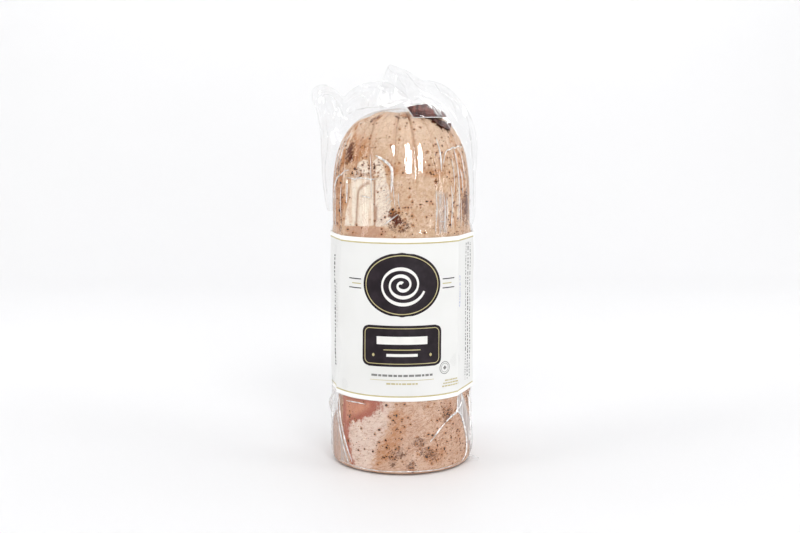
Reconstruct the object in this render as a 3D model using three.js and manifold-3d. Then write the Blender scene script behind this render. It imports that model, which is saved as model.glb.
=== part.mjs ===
// A half roll of pancetta in a clear vacuum bag, standing on its cut face, with a paper band round its middle.
// Units are millimetres and +Z is up. The band's front faces -Y, and the origin is the centre of the flat base.
// The shut bag and the meat it clings to are one solid. The band is a thin ring that goes round it.
import * as THREE from "three";
import { mergeVertices } from "three/addons/utils/BufferGeometryUtils.js";
import Module from "manifold-3d";

const wasm = await Module();
wasm.setup();

const { lerp, smoothstep, degToRad, radToDeg } = THREE.MathUtils;

// Driving sizes of the roll
const ROLL_RADIUS = 50;
const ROLL_HEIGHT = 256.5;
const DOME_START = 186;
const DOME_RISE = ROLL_HEIGHT - DOME_START;
const DOME_EXPONENT = 2.75;
const FOOT_RADIUS = 50.9;
const FOOT_EDGE = 4;
const BASE_DISC_RADIUS = 25;

// Pleats that the tied casing leaves, deepest round the domed end
const PLEATS = 21;
const FIRST_PLEAT = degToRad(-8);
const STEPS_ROUND = 5 * PLEATS;
const PLEAT_DEPTH_LOW = 0.2;
const PLEAT_DEPTH_HIGH = 2.1;
const PLEATS_START = 172;
const PLEATS_FULL = 245;
const CROWN_DIP = 1.4;

// Paper band, round at the front and back and flat between its pairs of creases at the bag's side fins
const BAND_BOTTOM = 53.6;
const BAND_TOP = 168.4;
const BAND_THICKNESS = 0.6;
const BAND_GAP = 0.3;
const BAND_LEDGE = 0.7;
const BAND_CREASES = [
  { degrees: -93, radius: 52.2, then: "flat" },
  { degrees: -57, radius: 51.5, then: "round" },
  { degrees: 51, radius: 51.4, then: "flat" },
  { degrees: 89, radius: 52.4, then: "round" },
  { degrees: 267, radius: 52.2, then: "flat" },
];
const LAP = { from: 166, to: 179, thickness: 0.5 };

// Rows of the roll's surface
const ROWS_BELOW_BAND = 8;
const ROWS_UNDER_BAND = 1;
const ROWS_ABOVE_BAND = 2;
const ROWS_ON_DOME = 15;

// Shallow panel that the vacuum has pressed into the front, left of its middle
const PANEL_ANGLE = degToRad(-30);
const PANEL_HEIGHT = 200;
const PANEL_DEPTH = 1.1;

// Flap of dark lean meat on the crown, right of its middle
const FLAP_LENGTH = 29;
const FLAP_WIDTH = 25;
const FLAP_THICKNESS = 15;
const FLAP_PLACE = [17.5, 2, 250.5];
const FLAP_LEAN = degToRad(15);

// Loose film
const FILM_THICKNESS = 1.5;
const FILM_ROOT = 0.93;

const bump = (distance) => Math.exp(-distance * distance);
const angleOf = (x, y) => Math.atan2(x, -y);

/** An angle brought into the range of half a turn either way. */
function withinHalfTurn(angle) {
  return Math.atan2(Math.sin(angle), Math.cos(angle));
}

/** Bump of a given half width round the roll at an angle in degrees. */
function ridge(angle, degrees, width) {
  return bump(withinHalfTurn(angle - degToRad(degrees)) / width);
}

/** Lets the evenly spaced steps round the roll stray a little, as its pleats do. */
function strayed(angle) {
  return angle + 0.035 * Math.sin(3 * angle + 1) + 0.02 * Math.sin(8 * angle + 2);
}

/** Outer radius of the paper band at an angle from the front. */
function bandRadius(angle) {
  const start = BAND_CREASES[0].degrees;
  const degrees = ((((radToDeg(angle) - start) % 360) + 360) % 360) + start;
  const next = BAND_CREASES.findIndex((crease) => crease.degrees > degrees);
  const [near, far] = [BAND_CREASES[next - 1], BAND_CREASES[next]];
  const done = degToRad(degrees - near.degrees);
  const left = degToRad(far.degrees - degrees);
  if (near.then === "round") return lerp(near.radius, far.radius, done / (done + left));
  return (
    (near.radius * far.radius * Math.sin(done + left)) / (near.radius * Math.sin(done) + far.radius * Math.sin(left))
  );
}

/** Radius of the plain roll below its dome, before pleats and folds. */
function rollRadius(z) {
  if (z < FOOT_EDGE) {
    const left = FOOT_EDGE - z;
    return FOOT_RADIUS - FOOT_EDGE + Math.sqrt(FOOT_EDGE * FOOT_EDGE - left * left);
  }
  return lerp(FOOT_RADIUS, ROLL_RADIUS, smoothstep(z, 20, 60));
}

/** Slight unevenness of the roll's girth. */
function unevenness(angle, z) {
  return (
    0.45 * Math.sin(2 * angle + 0.7 + z / 90) +
    0.3 * Math.sin(3 * angle - z / 37) +
    0.2 * Math.sin(5 * angle + z / 23 + 1.1)
  );
}

/** Depth of the pleats, from 0 on a lobe's crown to at most 1 in a valley. Some are shallower than others. */
function pleat(angle) {
  const across = Math.abs(Math.sin((PLEATS * (angle - FIRST_PLEAT)) / 2));
  const share = 0.74 + 0.26 * Math.sin(2.6 * Math.sin(angle + 0.4) + 4 * angle);
  return share * (1 - across) ** 1.5;
}

/** Depth of the pressed panel at a point. */
function pressedPanel(angle, z) {
  const across = smoothstep(Math.abs(angle - PANEL_ANGLE), degToRad(15), degToRad(25));
  const up = smoothstep(Math.abs(z - PANEL_HEIGHT), 20, 29);
  return PANEL_DEPTH * (1 - across) * (1 - up);
}

/** Tents and puckers of the bag below the band, as extra radius. */
function lowerFolds(angle, z) {
  const tents =
    ridge(angle, 88, 0.3) * lerp(2.4, 1.2, z / BAND_BOTTOM) + ridge(angle, -90, 0.28) * 1.3 + ridge(angle, 171, 0.09);
  const pucker = 3.2 * ridge(angle, -97, 0.1) * bump((z - 40) / 6);
  return tents * smoothstep(z, 0, 12) + pucker;
}

/** Moves a point of the plain turned roll to the surface of the bagged one. */
function bagged(radius, angle, z) {
  if (radius < 1e-6) return [0, 0, z];
  const turn = strayed(angle);
  const share = Math.min(1, radius / ROLL_RADIUS);
  let out = radius;
  let drop = 0;
  if (z > BAND_TOP + BAND_LEDGE / 2 + 0.5) {
    const depth = lerp(PLEAT_DEPTH_LOW, PLEAT_DEPTH_HIGH, smoothstep(z, PLEATS_START, PLEATS_FULL));
    out += share * (unevenness(turn, z) - depth * pleat(angle)) - pressedPanel(turn, z);
    drop = z > DOME_START ? CROWN_DIP * pleat(angle) * smoothstep(share, 0.1, 0.45) : 0;
  } else if (z > BAND_BOTTOM - BAND_LEDGE / 2 - 0.5) {
    out = bandRadius(turn) - BAND_THICKNESS - BAND_GAP;
  } else if (radius > BASE_DISC_RADIUS + 1) {
    out += 0.5 * unevenness(turn, z) + lowerFolds(turn, z);
  }
  return [out * Math.sin(turn), -out * Math.cos(turn), z - drop];
}

/** A geometry as a manifold solid, with shared corners merged and empty triangles dropped. */
function solidOf(geometry) {
  const bare = geometry.clone();
  bare.deleteAttribute("normal");
  bare.deleteAttribute("uv");
  const merged = mergeVertices(bare, 1e-4);
  const corners = merged.index.array;
  const kept = [];
  for (let i = 0; i < corners.length; i += 3) {
    const [a, b, c] = corners.slice(i, i + 3);
    if (a !== b && b !== c && c !== a) kept.push(a, b, c);
  }
  return new wasm.Manifold(
    new wasm.Mesh({
      numProp: 3,
      vertProperties: new Float32Array(merged.attributes.position.array),
      triVerts: new Uint32Array(kept),
    }),
  );
}

/** A manifold solid as a geometry that three.js can draw. */
function geometryOf(solid) {
  const mesh = solid.getMesh();
  const geometry = new THREE.BufferGeometry();
  geometry.setAttribute("position", new THREE.BufferAttribute(mesh.vertProperties, 3));
  geometry.setIndex(new THREE.BufferAttribute(mesh.triVerts, 1));
  geometry.computeVertexNormals();
  return geometry;
}

/** Moves every corner of a geometry by a function from x, y, z to [x, y, z]. */
function reshaped(geometry, move) {
  const places = geometry.attributes.position;
  for (let i = 0; i < places.count; i += 1) {
    places.setXYZ(i, ...move(places.getX(i), places.getY(i), places.getZ(i)));
  }
  return geometry;
}

/** Half section of the plain roll, from the centre of its base to the top of its dome. */
function rollProfile() {
  const points = [new THREE.Vector2(0, 0), new THREE.Vector2(BASE_DISC_RADIUS, 0)];
  const addRows = (from, to, count) => {
    for (let i = 1; i <= count; i += 1) {
      const z = lerp(from, to, i / count);
      points.push(new THREE.Vector2(rollRadius(z), z));
    }
  };
  addRows(0, 0, 1);
  addRows(0, 0.35 * FOOT_EDGE, 1);
  addRows(0, FOOT_EDGE, 1);
  addRows(FOOT_EDGE, BAND_BOTTOM - 2 * BAND_LEDGE, ROWS_BELOW_BAND);
  addRows(BAND_BOTTOM - BAND_LEDGE, BAND_BOTTOM - BAND_LEDGE, 1);
  addRows(BAND_BOTTOM - BAND_LEDGE, BAND_TOP + BAND_LEDGE, ROWS_UNDER_BAND);
  addRows(BAND_TOP + 2 * BAND_LEDGE, BAND_TOP + 2 * BAND_LEDGE, 1);
  addRows(BAND_TOP + 2 * BAND_LEDGE, DOME_START, ROWS_ABOVE_BAND);
  for (let i = 1; i < ROWS_ON_DOME; i += 1) {
    const turn = ((i / ROWS_ON_DOME) * Math.PI) / 2;
    const out = ROLL_RADIUS * Math.cos(turn) ** (2 / DOME_EXPONENT);
    points.push(new THREE.Vector2(out, DOME_START + DOME_RISE * Math.sin(turn) ** (2 / DOME_EXPONENT)));
  }
  points.push(new THREE.Vector2(0, ROLL_HEIGHT));
  return points;
}

/** The roll with the film clinging to it. */
function roll() {
  const turned = new THREE.LatheGeometry(rollProfile(), STEPS_ROUND, FIRST_PLEAT).rotateX(Math.PI / 2);
  return reshaped(turned, (x, y, z) => bagged(Math.hypot(x, y), angleOf(x, y), z));
}

/** Flap of lean meat on the crown: a slab with rounded edges that leans down to the right. */
function leanFlap() {
  const slab = new THREE.BoxGeometry(1, 1, 1, 8, 6, 3);
  const rounded = reshaped(slab, (a, b, c) => {
    const narrowing = 1 - (c > 0 ? 1.1 : 0.3) * c * c;
    const x = a * FLAP_LENGTH * Math.sqrt(1 - 0.8 * b * b) * narrowing;
    const y = b * FLAP_WIDTH * Math.sqrt(1 - 0.8 * a * a) * narrowing;
    const sag = c > 0 ? 2.2 * (a * a + b * b) + 0.5 * Math.sin(9 * a + 4 * b) : 0;
    return [x, y, c * FLAP_THICKNESS - sag];
  });
  return rounded.rotateY(FLAP_LEAN).translate(...FLAP_PLACE);
}

/** How far out a point in the plane of the side outline lies, where 1 is on the plain roll's outline. */
function reachOf(x, z) {
  const across = Math.abs(x) / ROLL_RADIUS;
  const up = Math.max(0, z - DOME_START) / DOME_RISE;
  return (across ** DOME_EXPONENT + up ** DOME_EXPONENT) ** (1 / DOME_EXPONENT);
}

/**
 * Loose double film that stands up from the roll, between the roll and the film's own edge.
 * @param {object} shape the edge as [x, z] points, a depth and a swelling by x and z, and the grid's counts
 */
function looseFilm({ edge, columns, rows, depth, swelling }) {
  const path = new THREE.SplineCurve(edge.map(([x, z]) => new THREE.Vector2(x, z)));
  const slab = new THREE.BoxGeometry(1, 1, 1, columns, 1, rows);
  return reshaped(slab, (a, b, c) => {
    const rim = path.getPointAt(a + 0.5);
    const inward = FILM_ROOT / reachOf(rim.x, rim.y);
    const x = lerp(rim.x * inward, rim.x, c + 0.5);
    const z = lerp(rim.y > DOME_START ? lerp(DOME_START, rim.y, inward) : rim.y, rim.y, c + 0.5);
    const roundness = 1 - (2 * c) ** 6;
    const tent = 6 * bump((reachOf(x, z) - 1) / 0.07) * smoothstep(z, 225, 250);
    return [x, depth(x, z) + b * (FILM_THICKNESS + (swelling(x, z) + tent) * roundness), z];
  });
}

/** Left part of the bag's loose end, from the fin down the left side, over its swollen corner, to past the middle. */
function leftFilm() {
  const corner = (x, z) => bump(Math.hypot((x + 54.5) / 8, (z - 262) / 10));
  const middle = (x, z) => bump(Math.hypot((x + 17) / 13, (z - 264) / 8));
  return looseFilm({
    edge: [
      [-51.5, 183],
      [-54.4, 186],
      [-56.8, 205],
      [-57.5, 222],
      [-58, 238],
      [-60.5, 255],
      [-64, 265],
      [-62, 271.5],
      [-55, 273.5],
      [-48, 270.5],
      [-41.5, 265.5],
      [-36, 270],
      [-26, 274.8],
      [-13, 276],
      [-3, 272],
      [6, 263],
      [11, 254],
    ],
    columns: 40,
    rows: 7,
    depth: (x, z) =>
      -1.5 +
      1.5 * Math.sin(z / 13 + 0.8) * smoothstep(-x, 44, 56) -
      smoothstep(reachOf(x, z), 1, 1.3) * (3 + 4.4 * Math.sin(x / 5.3 + 0.6) + 1.8 * Math.sin(z / 3.6 + x / 9)),
    swelling: (x, z) => 8.5 * corner(x, z) + 6 * middle(x, z),
  });
}

/** Right part of the bag's loose end, highest at its inner corner, with the narrow fin down the right side. */
function rightFilm() {
  const shoulder = (x, z) => bump(Math.hypot((x - 27) / 12, (z - 266) / 7));
  return looseFilm({
    edge: [
      [-17, 262],
      [-13, 279],
      [-9, 288],
      [-5, 287.5],
      [4, 284],
      [14, 277.5],
      [23, 276.5],
      [32, 273],
      [41, 264],
      [49, 252.5],
      [53.5, 241],
      [55, 226],
      [53.6, 205],
      [53.4, 180],
      [50.5, 171.5],
    ],
    columns: 36,
    rows: 6,
    depth: (x, z) =>
      2 +
      1.2 * Math.sin(z / 11) * smoothstep(x, 42, 54) +
      smoothstep(reachOf(x, z), 1, 1.3) * (3.5 + 4.2 * Math.sin(x / 4.8 + 2.1) + 1.6 * Math.sin(z / 3.4 - x / 8)),
    swelling: (x, z) => 6 * shoulder(x, z),
  });
}

/** Corner of film that lies on the floor at the right foot. */
function footFilm() {
  const slab = new THREE.BoxGeometry(1, 1, 1, 6, 5, 1);
  return reshaped(slab, (a, b, c) => {
    const out = a + 0.5;
    const x = lerp(44, 57, out);
    const y = -9 - 3 * out + 18 * b * (1 - 0.75 * out ** 1.5);
    const lift = FILM_THICKNESS + 4.5 * (1 - out) * (1 - 3 * b * b) + 0.5 * out * Math.cos(9 * b);
    return [x, y, lift + c * FILM_THICKNESS];
  });
}

/** Paper band as a closed ring, a little thicker where its ends lap at the back. */
function paperBand() {
  const outer = ROLL_RADIUS + BAND_THICKNESS;
  const section = [
    new THREE.Vector2(ROLL_RADIUS, BAND_TOP),
    new THREE.Vector2(ROLL_RADIUS, BAND_BOTTOM),
    new THREE.Vector2(outer, BAND_BOTTOM),
    new THREE.Vector2(outer, BAND_TOP),
    new THREE.Vector2(ROLL_RADIUS, BAND_TOP),
  ];
  const turned = new THREE.LatheGeometry(section, STEPS_ROUND, FIRST_PLEAT).rotateX(Math.PI / 2);
  return reshaped(turned, (x, y, z) => {
    const turn = strayed(angleOf(x, y));
    const degrees = radToDeg(withinHalfTurn(turn));
    const lapped = degrees > LAP.from && degrees < LAP.to ? LAP.thickness : 0;
    const inside = Math.hypot(x, y) < ROLL_RADIUS + BAND_THICKNESS / 2;
    const radius = bandRadius(turn) + (inside ? -BAND_THICKNESS : lapped);
    return [radius * Math.sin(turn), -radius * Math.cos(turn), z];
  });
}

const baggedMeat = new THREE.MeshStandardMaterial({ color: 0xd8b08e, roughness: 0.3, metalness: 0 });
baggedMeat.name = "bagged_meat";
const bandPaper = new THREE.MeshStandardMaterial({ color: 0xf4f4f0, roughness: 0.55, metalness: 0 });
bandPaper.name = "band_paper";

/** A named mesh of the model. */
function piece(name, geometry, material) {
  const mesh = new THREE.Mesh(geometry, material);
  mesh.name = name;
  return mesh;
}

const bag = [leanFlap(), leftFilm(), rightFilm(), footFilm()].reduce(
  (whole, added) => whole.add(solidOf(added)),
  solidOf(roll()),
);

const pancetta = new THREE.Group();
pancetta.name = "pancetta_in_vacuum_bag";
pancetta.add(piece("bagged_pancetta", geometryOf(bag), baggedMeat));
pancetta.add(piece("paper_band", geometryOf(solidOf(paperBand())), bandPaper));

export default pancetta;
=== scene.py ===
"""Looks of a half roll of pancetta in a clear vacuum bag, with a printed paper band round its middle.

Lengths are in millimetres until a mesh is made, angles are in degrees from the front (-Y) towards +X, and
heights are above the flat face that the roll stands on.
"""
import logging
from collections.abc import Callable, Iterable
from dataclasses import dataclass, field
from enum import Enum

import bpy
import numpy as np
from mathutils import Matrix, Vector

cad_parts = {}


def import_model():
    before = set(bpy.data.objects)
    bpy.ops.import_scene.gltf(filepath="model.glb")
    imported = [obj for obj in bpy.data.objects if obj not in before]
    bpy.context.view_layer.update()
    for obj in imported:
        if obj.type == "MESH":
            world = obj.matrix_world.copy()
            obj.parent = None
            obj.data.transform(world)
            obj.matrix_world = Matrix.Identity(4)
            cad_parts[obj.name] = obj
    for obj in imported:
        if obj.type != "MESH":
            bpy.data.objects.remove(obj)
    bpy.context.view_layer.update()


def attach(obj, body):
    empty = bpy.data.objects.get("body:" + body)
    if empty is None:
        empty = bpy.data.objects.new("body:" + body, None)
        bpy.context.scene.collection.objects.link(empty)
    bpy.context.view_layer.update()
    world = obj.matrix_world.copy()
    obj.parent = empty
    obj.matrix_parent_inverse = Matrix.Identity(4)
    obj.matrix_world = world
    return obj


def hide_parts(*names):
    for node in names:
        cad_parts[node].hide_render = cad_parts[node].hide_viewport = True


log = logging.getLogger("pancetta")

MM = 0.001
BODY = "root"
Array = np.ndarray
Colour = tuple[int, int, int]
Socket = bpy.types.NodeSocket
Material = bpy.types.Material
Piece = bpy.types.Object
Pair = tuple[float, float]
Triple = tuple[float, float, float]
Flat = tuple[Pair, ...]
Faces = list[tuple[int, ...]]
Coats = tuple[tuple[object, object], ...]
# Millimetres of the roll's girth for a degree
ARC = 50 * np.pi / 180


def smoothstep(value: Array, low: float, high: float) -> Array:
    """Smooth rise from 0 at low to 1 at high."""
    share = np.clip((np.asarray(value, float) - low) / (high - low), 0.0, 1.0)
    return share * share * (3 - 2 * share)


def bump(distance: Array) -> Array:
    """Bell curve that is 1 at 0."""
    return np.exp(-np.square(distance))


def blend(low: Array, high: Array, share: Array) -> Array:
    """Straight mix of two values."""
    return low + (high - low) * share


def within_half_turn(degrees: Array) -> Array:
    """Angles brought into the range from -180 to 180."""
    return (np.asarray(degrees, float) + 180) % 360 - 180


def linear(colour: Colour) -> tuple[float, float, float, float]:
    """Scene-linear colour of an sRGB one.

    Args:
        colour: red, green and blue from 0 to 255.

    Returns:
        Red, green and blue from 0 to 1, and an alpha of 1.
    """
    share = np.array(colour) / 255
    low = share / 12.92
    high = ((share + 0.055) / 1.055) ** 2.4
    return (*(float(v) for v in np.where(share <= 0.04045, low, high)), 1.0)


@dataclass(frozen=True)
class Ripples:
    """Random relief from a few seeded plane waves, the same on every run."""

    seed: int
    length: float
    waves: int = 9
    spread: float = 0.45
    warp: float = 0.35
    sharp: bool = False

    def at(self, points: Array) -> Array:
        """Relief from about -1 to 1 at points.

        Args:
            points: places in millimetres, with their coordinates along the last axis.

        Returns:
            One number for each point.
        """
        draw = np.random.default_rng(self.seed)
        total = np.zeros(points.shape[:-1])
        wave = np.zeros(points.shape[:-1])
        for _ in range(self.waves):
            way = draw.normal(size=points.shape[-1])
            way /= np.linalg.norm(way)
            length = self.length * draw.uniform(1 - self.spread, 1 + self.spread)
            phase = points @ way / length + draw.uniform() + self.warp * wave
            wave = 4 * np.abs(phase % 1 - 0.5) - 1 if self.sharp else np.sin(2 * np.pi * phase)
            total += wave
        return total / np.sqrt(self.waves)


class Layer(Enum):
    """Which skin of the bagged roll is wanted."""

    MEAT = "meat"
    FILM = "film"


@dataclass(frozen=True)
class BandForm:
    """Where the paper band runs: round at front and back, flat between its creases beside the bag's fins."""

    bottom: float = 53.6
    top: float = 168.4
    creases: tuple[tuple[float, float, bool], ...] = (
        (-93, 52.2, False),
        (-57, 51.5, True),
        (51, 51.4, False),
        (89, 52.4, True),
        (267, 52.2, False),
    )

    def radius(self, degrees: Array) -> Array:
        """Radius of the band's outer face.

        Args:
            degrees: angles.

        Returns:
            A radius for each angle.
        """
        start = self.creases[0][0]
        turned = (np.asarray(degrees, float) - start) % 360 + start
        out = np.zeros_like(turned)
        for (a, near, curved), (b, far, _) in zip(self.creases, self.creases[1:]):
            inside = (turned >= a) & (turned <= b)
            done, left = np.radians(turned - a), np.radians(b - turned)
            if curved:
                run = blend(near, far, (turned - a) / (b - a))
            else:
                slant = np.where(inside, near * np.sin(done) + far * np.sin(left), 1)
                run = near * far * np.sin(done + left) / slant
            out = np.where(inside, run, out)
        return out

    def hold(self, z: Array, reach: float) -> Array:
        """How firmly the band holds the bag: 1 under the band, fading to 0 at reach beyond its edges."""
        fading = 1 - smoothstep(z, self.top, self.top + reach)
        return smoothstep(z, self.bottom - reach, self.bottom) * fading


@dataclass(frozen=True)
class RollForm:
    """Outer form of the roll in its bag, with the solid's own sizes."""

    band: BandForm = BandForm()
    radius: float = 50.0
    height: float = 256.5
    dome_start: float = 186.0
    dome_exponent: float = 2.75
    foot_radius: float = 50.9
    foot_edge: float = 4.0
    pleats: int = 21
    first_pleat: float = -8.0
    pleat_depth_low: float = 0.2
    pleat_depth_high: float = 2.1
    pleats_start: float = 172.0
    pleats_full: float = 245.0
    crown_dip: float = 1.4
    panel: Triple = (-30.0, 200.0, 1.1)
    film_lift: float = 0.4
    band_paper: float = 0.3
    band_fade: float = 7.0
    band_squeeze: float = 0.9
    foot_taper: Pair = (20.0, 60.0)
    crown_dents: tuple[Triple, ...] = ((-2.5, 10.0, 2.4), (-24.0, 6.0, 1.6))
    waist: Triple = (-90.0, 27.0, 3.6)
    waist_heights: Pair = (27.0, 42.0)

    def plain_radius(self, z: Array) -> Array:
        """Radius of the plain roll at a height, before pleats and folds.

        Args:
            z: heights.

        Returns:
            A radius for each.
        """
        z = np.asarray(z, float)
        up = np.clip((z - self.dome_start) / (self.height - self.dome_start), 0, 1)
        dome = self.radius * (1 - up**self.dome_exponent) ** (1 / self.dome_exponent)
        side = blend(self.foot_radius, self.radius, smoothstep(z, *self.foot_taper))
        left = np.clip(self.foot_edge - z, 0, None)
        foot = self.foot_radius - self.foot_edge + np.sqrt(self.foot_edge**2 - left**2)
        return np.where(z > self.dome_start, dome, np.where(z < self.foot_edge, foot, side))

    def reach(self, x: Array, z: Array) -> Array:
        """How far out a point in the plane of the side outline lies, where 1 is on the plain roll's outline.

        Args:
            x: distances to the right.
            z: heights.

        Returns:
            A number for each.
        """
        across = np.abs(x) / self.radius
        up = np.clip(z - self.dome_start, 0, None) / (self.height - self.dome_start)
        return (across**self.dome_exponent + up**self.dome_exponent) ** (1 / self.dome_exponent)

    @staticmethod
    def stray(degrees: Array) -> Array:
        """Angles moved a little round the roll, as its pleats stray.

        Args:
            degrees: angles.

        Returns:
            The moved angles.
        """
        turn = np.radians(degrees)
        shift = 0.035 * np.sin(3 * turn + 1) + 0.02 * np.sin(8 * turn + 2) + 0.1 * bump((turn - 0.65) / 0.3)
        return degrees + np.degrees(shift)

    def before_straying(self, turned: Array) -> Array:
        """Angles that stray to the given ones.

        Args:
            turned: angles that have strayed.

        Returns:
            The angles before.
        """
        degrees = np.asarray(turned, float)
        for _ in range(12):
            degrees = degrees + turned - self.stray(degrees)
        return degrees

    @staticmethod
    def unevenness(degrees: Array, z: Array) -> Array:
        """Slight unevenness of the roll's girth.

        Args:
            degrees: angles.
            z: heights.

        Returns:
            Millimetres outwards.
        """
        turn = np.radians(degrees)
        return (
            0.45 * np.sin(2 * turn + 0.7 + z / 90)
            + 0.3 * np.sin(3 * turn - z / 37)
            + 0.2 * np.sin(5 * turn + z / 23 + 1.1)
        )

    def pleat(self, degrees: Array, sharpness: float) -> Array:
        """Depth of the pleats, from 0 on a lobe's crown to at most 1 in a valley.

        Args:
            degrees: angles from the front.
            sharpness: how narrow the valleys are.

        Returns:
            A share for each angle.
        """
        turn = np.radians(degrees)
        across = np.abs(np.sin(self.pleats * (turn - np.radians(self.first_pleat)) / 2))
        share = 0.74 + 0.26 * np.sin(2.6 * np.sin(turn + 0.4) + 4 * turn)
        return share * (1 - across) ** sharpness

    def pressed_panel(self, degrees: Array, z: Array) -> Array:
        """Depth of the shallow panel that the vacuum has pressed into the front.

        Args:
            degrees: angles.
            z: heights.

        Returns:
            Millimetres inwards.
        """
        angle, height, depth = self.panel
        across = smoothstep(np.abs(degrees - angle), 15, 25)
        return depth * (1 - across) * (1 - smoothstep(np.abs(z - height), 20, 29))

    @staticmethod
    def lower_folds(degrees: Array, z: Array, layer: Layer) -> Array:
        """Tents and puckers of the bag below the band. The meat follows them only a little.

        Args:
            degrees: angles.
            z: heights.
            layer: the skin.

        Returns:
            Millimetres outwards.
        """

        def ridge(at: float, width: float) -> Array:
            """An upright ridge round an angle."""
            return bump(within_half_turn(degrees - at) / width)

        tents = ridge(88, 17) * blend(2.4, 1.2, z / 54) + 1.3 * ridge(-90, 16) + ridge(171, 5)
        pucker = 3.2 * ridge(-97, 5.7) * bump((z - 40) / 6)
        follow = 1.0 if layer is Layer.FILM else 0.15
        return follow * (tents * smoothstep(z, 0, 12) + pucker)

    def skin(self, degrees: Array, radius: Array, z: Array, layer: Layer) -> Array:
        """Points of one skin of the bagged roll.

        Args:
            degrees: angles from the front, before they stray.
            radius: radius of the plain roll.
            z: heights on the plain roll.
            layer: the meat, or the film that clings to it.

        Returns:
            Points in millimetres, with x, y and z along the last axis.
        """
        degrees, radius, z = np.broadcast_arrays(*(np.asarray(v, float) for v in (degrees, radius, z)))
        turn = self.stray(degrees)
        share = np.clip(radius / self.radius, 0, 1)
        tight = layer is Layer.MEAT
        full = smoothstep(z, self.pleats_start, self.pleats_full)
        depth = blend(self.pleat_depth_low, self.pleat_depth_high, full**1.6)
        valley = self.pleat(degrees, 5.0 if tight else 1.8) * (1.2 if tight else 0.45)
        above = share * (self.unevenness(turn, z) - depth * valley) - self.pressed_panel(turn, z)
        edge = smoothstep(radius, 26, 45)
        below = edge * (0.5 * self.unevenness(turn, z) + self.lower_folds(turn, z, layer))
        out = radius + np.where(z > (self.band.bottom + self.band.top) / 2, above, below)
        held = self.band.radius(turn) - self.band_paper
        hold = self.band.hold(z, self.band_fade)
        if tight:
            held = np.minimum(held, out + self.band_squeeze)
            out = out - self.film_lift * smoothstep(radius, 0, 5)
        out = blend(out, held - (self.film_lift if tight else 0), hold)
        if tight:
            angle, wide, deep = self.waist
            under_band = smoothstep(z, *self.waist_heights) * (z < self.band.top - 60)
            out = out - deep * bump(within_half_turn(turn - angle) / wide) * under_band
        dip = 2.8 * self.pleat(degrees, 3) if tight else self.crown_dip * self.pleat(degrees, 1.5)
        drop = np.where(z > self.dome_start, dip * smoothstep(share, 0.1, 0.4), 0)
        angle = np.radians(turn)
        if tight:
            drop = drop + self.film_lift * (smoothstep(z, 235, self.height) - (1 - smoothstep(z, 0, 3)))
            for across, wide, deep in self.crown_dents:
                dent = bump((out * np.sin(angle) - across) / wide) * bump(out * np.cos(angle) / 24)
                drop = drop + deep * dent * smoothstep(z, 225, 245)
        return np.stack([out * np.sin(angle), -out * np.cos(angle), z - drop], axis=-1)


@dataclass(frozen=True)
class SkinGrid:
    """Rows and columns of one skin, closed round the roll, with a point at the base and at the crown."""

    form: RollForm
    layer: Layer
    columns: int
    side_step: float
    dome_rows: int
    front_share: float = 0.35

    def angles(self) -> Array:
        """Angles of the columns, closer together at the front."""
        turn = np.linspace(-np.pi, np.pi, self.columns, endpoint=False)
        return np.degrees(turn - self.front_share * np.sin(turn))

    def profile(self) -> tuple[Array, Array]:
        """Radii and heights of the rows, from the base to the crown.

        Returns:
            A radius and a height for each row.
        """
        form = self.form
        foot = form.foot_radius - form.foot_edge
        base = np.linspace(4, foot, 12, endpoint=False)
        corner = np.linspace(0, np.pi / 2, 7)
        low = np.arange(form.foot_edge, form.band.bottom + 1, self.side_step)[1:]
        hidden = np.linspace(form.band.bottom + 2, form.band.top - 3, 16)
        high = np.arange(form.band.top - 1, form.dome_start, self.side_step)
        turn = np.linspace(0, np.pi / 2, self.dome_rows, endpoint=False)
        rise = form.height - form.dome_start
        up = form.dome_start + rise * np.sin(turn) ** (2 / form.dome_exponent)
        heights = np.concatenate([low, hidden, high, up])
        radii = np.concatenate([base, foot + form.foot_edge * np.sin(corner), form.plain_radius(heights)])
        z = np.concatenate([np.zeros(len(base)), form.foot_edge * (1 - np.cos(corner)), heights])
        return radii, z

    def points(self) -> tuple[Array, Array, Array]:
        """Angles, plain heights and points of every row and column.

        Returns:
            Three grids, with a row for each step up.
        """
        radii, z = self.profile()
        degrees, radii = np.meshgrid(self.angles(), radii)
        z = np.broadcast_to(z[:, None], degrees.shape)
        return degrees, z, self.form.skin(degrees, radii, z, self.layer)

    @staticmethod
    def outward(points: Array) -> Array:
        """Unit normals of a grid of points that is closed along its columns.

        Args:
            points: the grid.

        Returns:
            A vector for each point.
        """
        across = np.roll(points, -1, 1) - np.roll(points, 1, 1)
        normals = np.cross(across, np.gradient(points, axis=0))
        return normals / np.linalg.norm(normals, axis=-1, keepdims=True)

    @staticmethod
    def closed(points: Array) -> tuple[Array, Faces]:
        """Vertices and faces of a closed grid with a point added at each end.

        Args:
            points: the grid.

        Returns:
            The vertices, and the faces as corner numbers.
        """
        rows, columns, _ = points.shape
        ends = np.array([points[0].mean(0), points[-1].mean(0)])
        ends[1, 2] = points[-1, :, 2].max()
        vertices = np.concatenate([points.reshape(-1, 3), ends])
        bottom, top = rows * columns, rows * columns + 1
        faces: Faces = []
        for j in range(columns):
            k = (j + 1) % columns
            faces.append((bottom, k, j))
            faces.append(((rows - 1) * columns + j, (rows - 1) * columns + k, top))
            for i in range(rows - 1):
                near, far = i * columns, (i + 1) * columns
                faces.append((near + j, near + k, far + k, far + j))
        return vertices, faces


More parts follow.
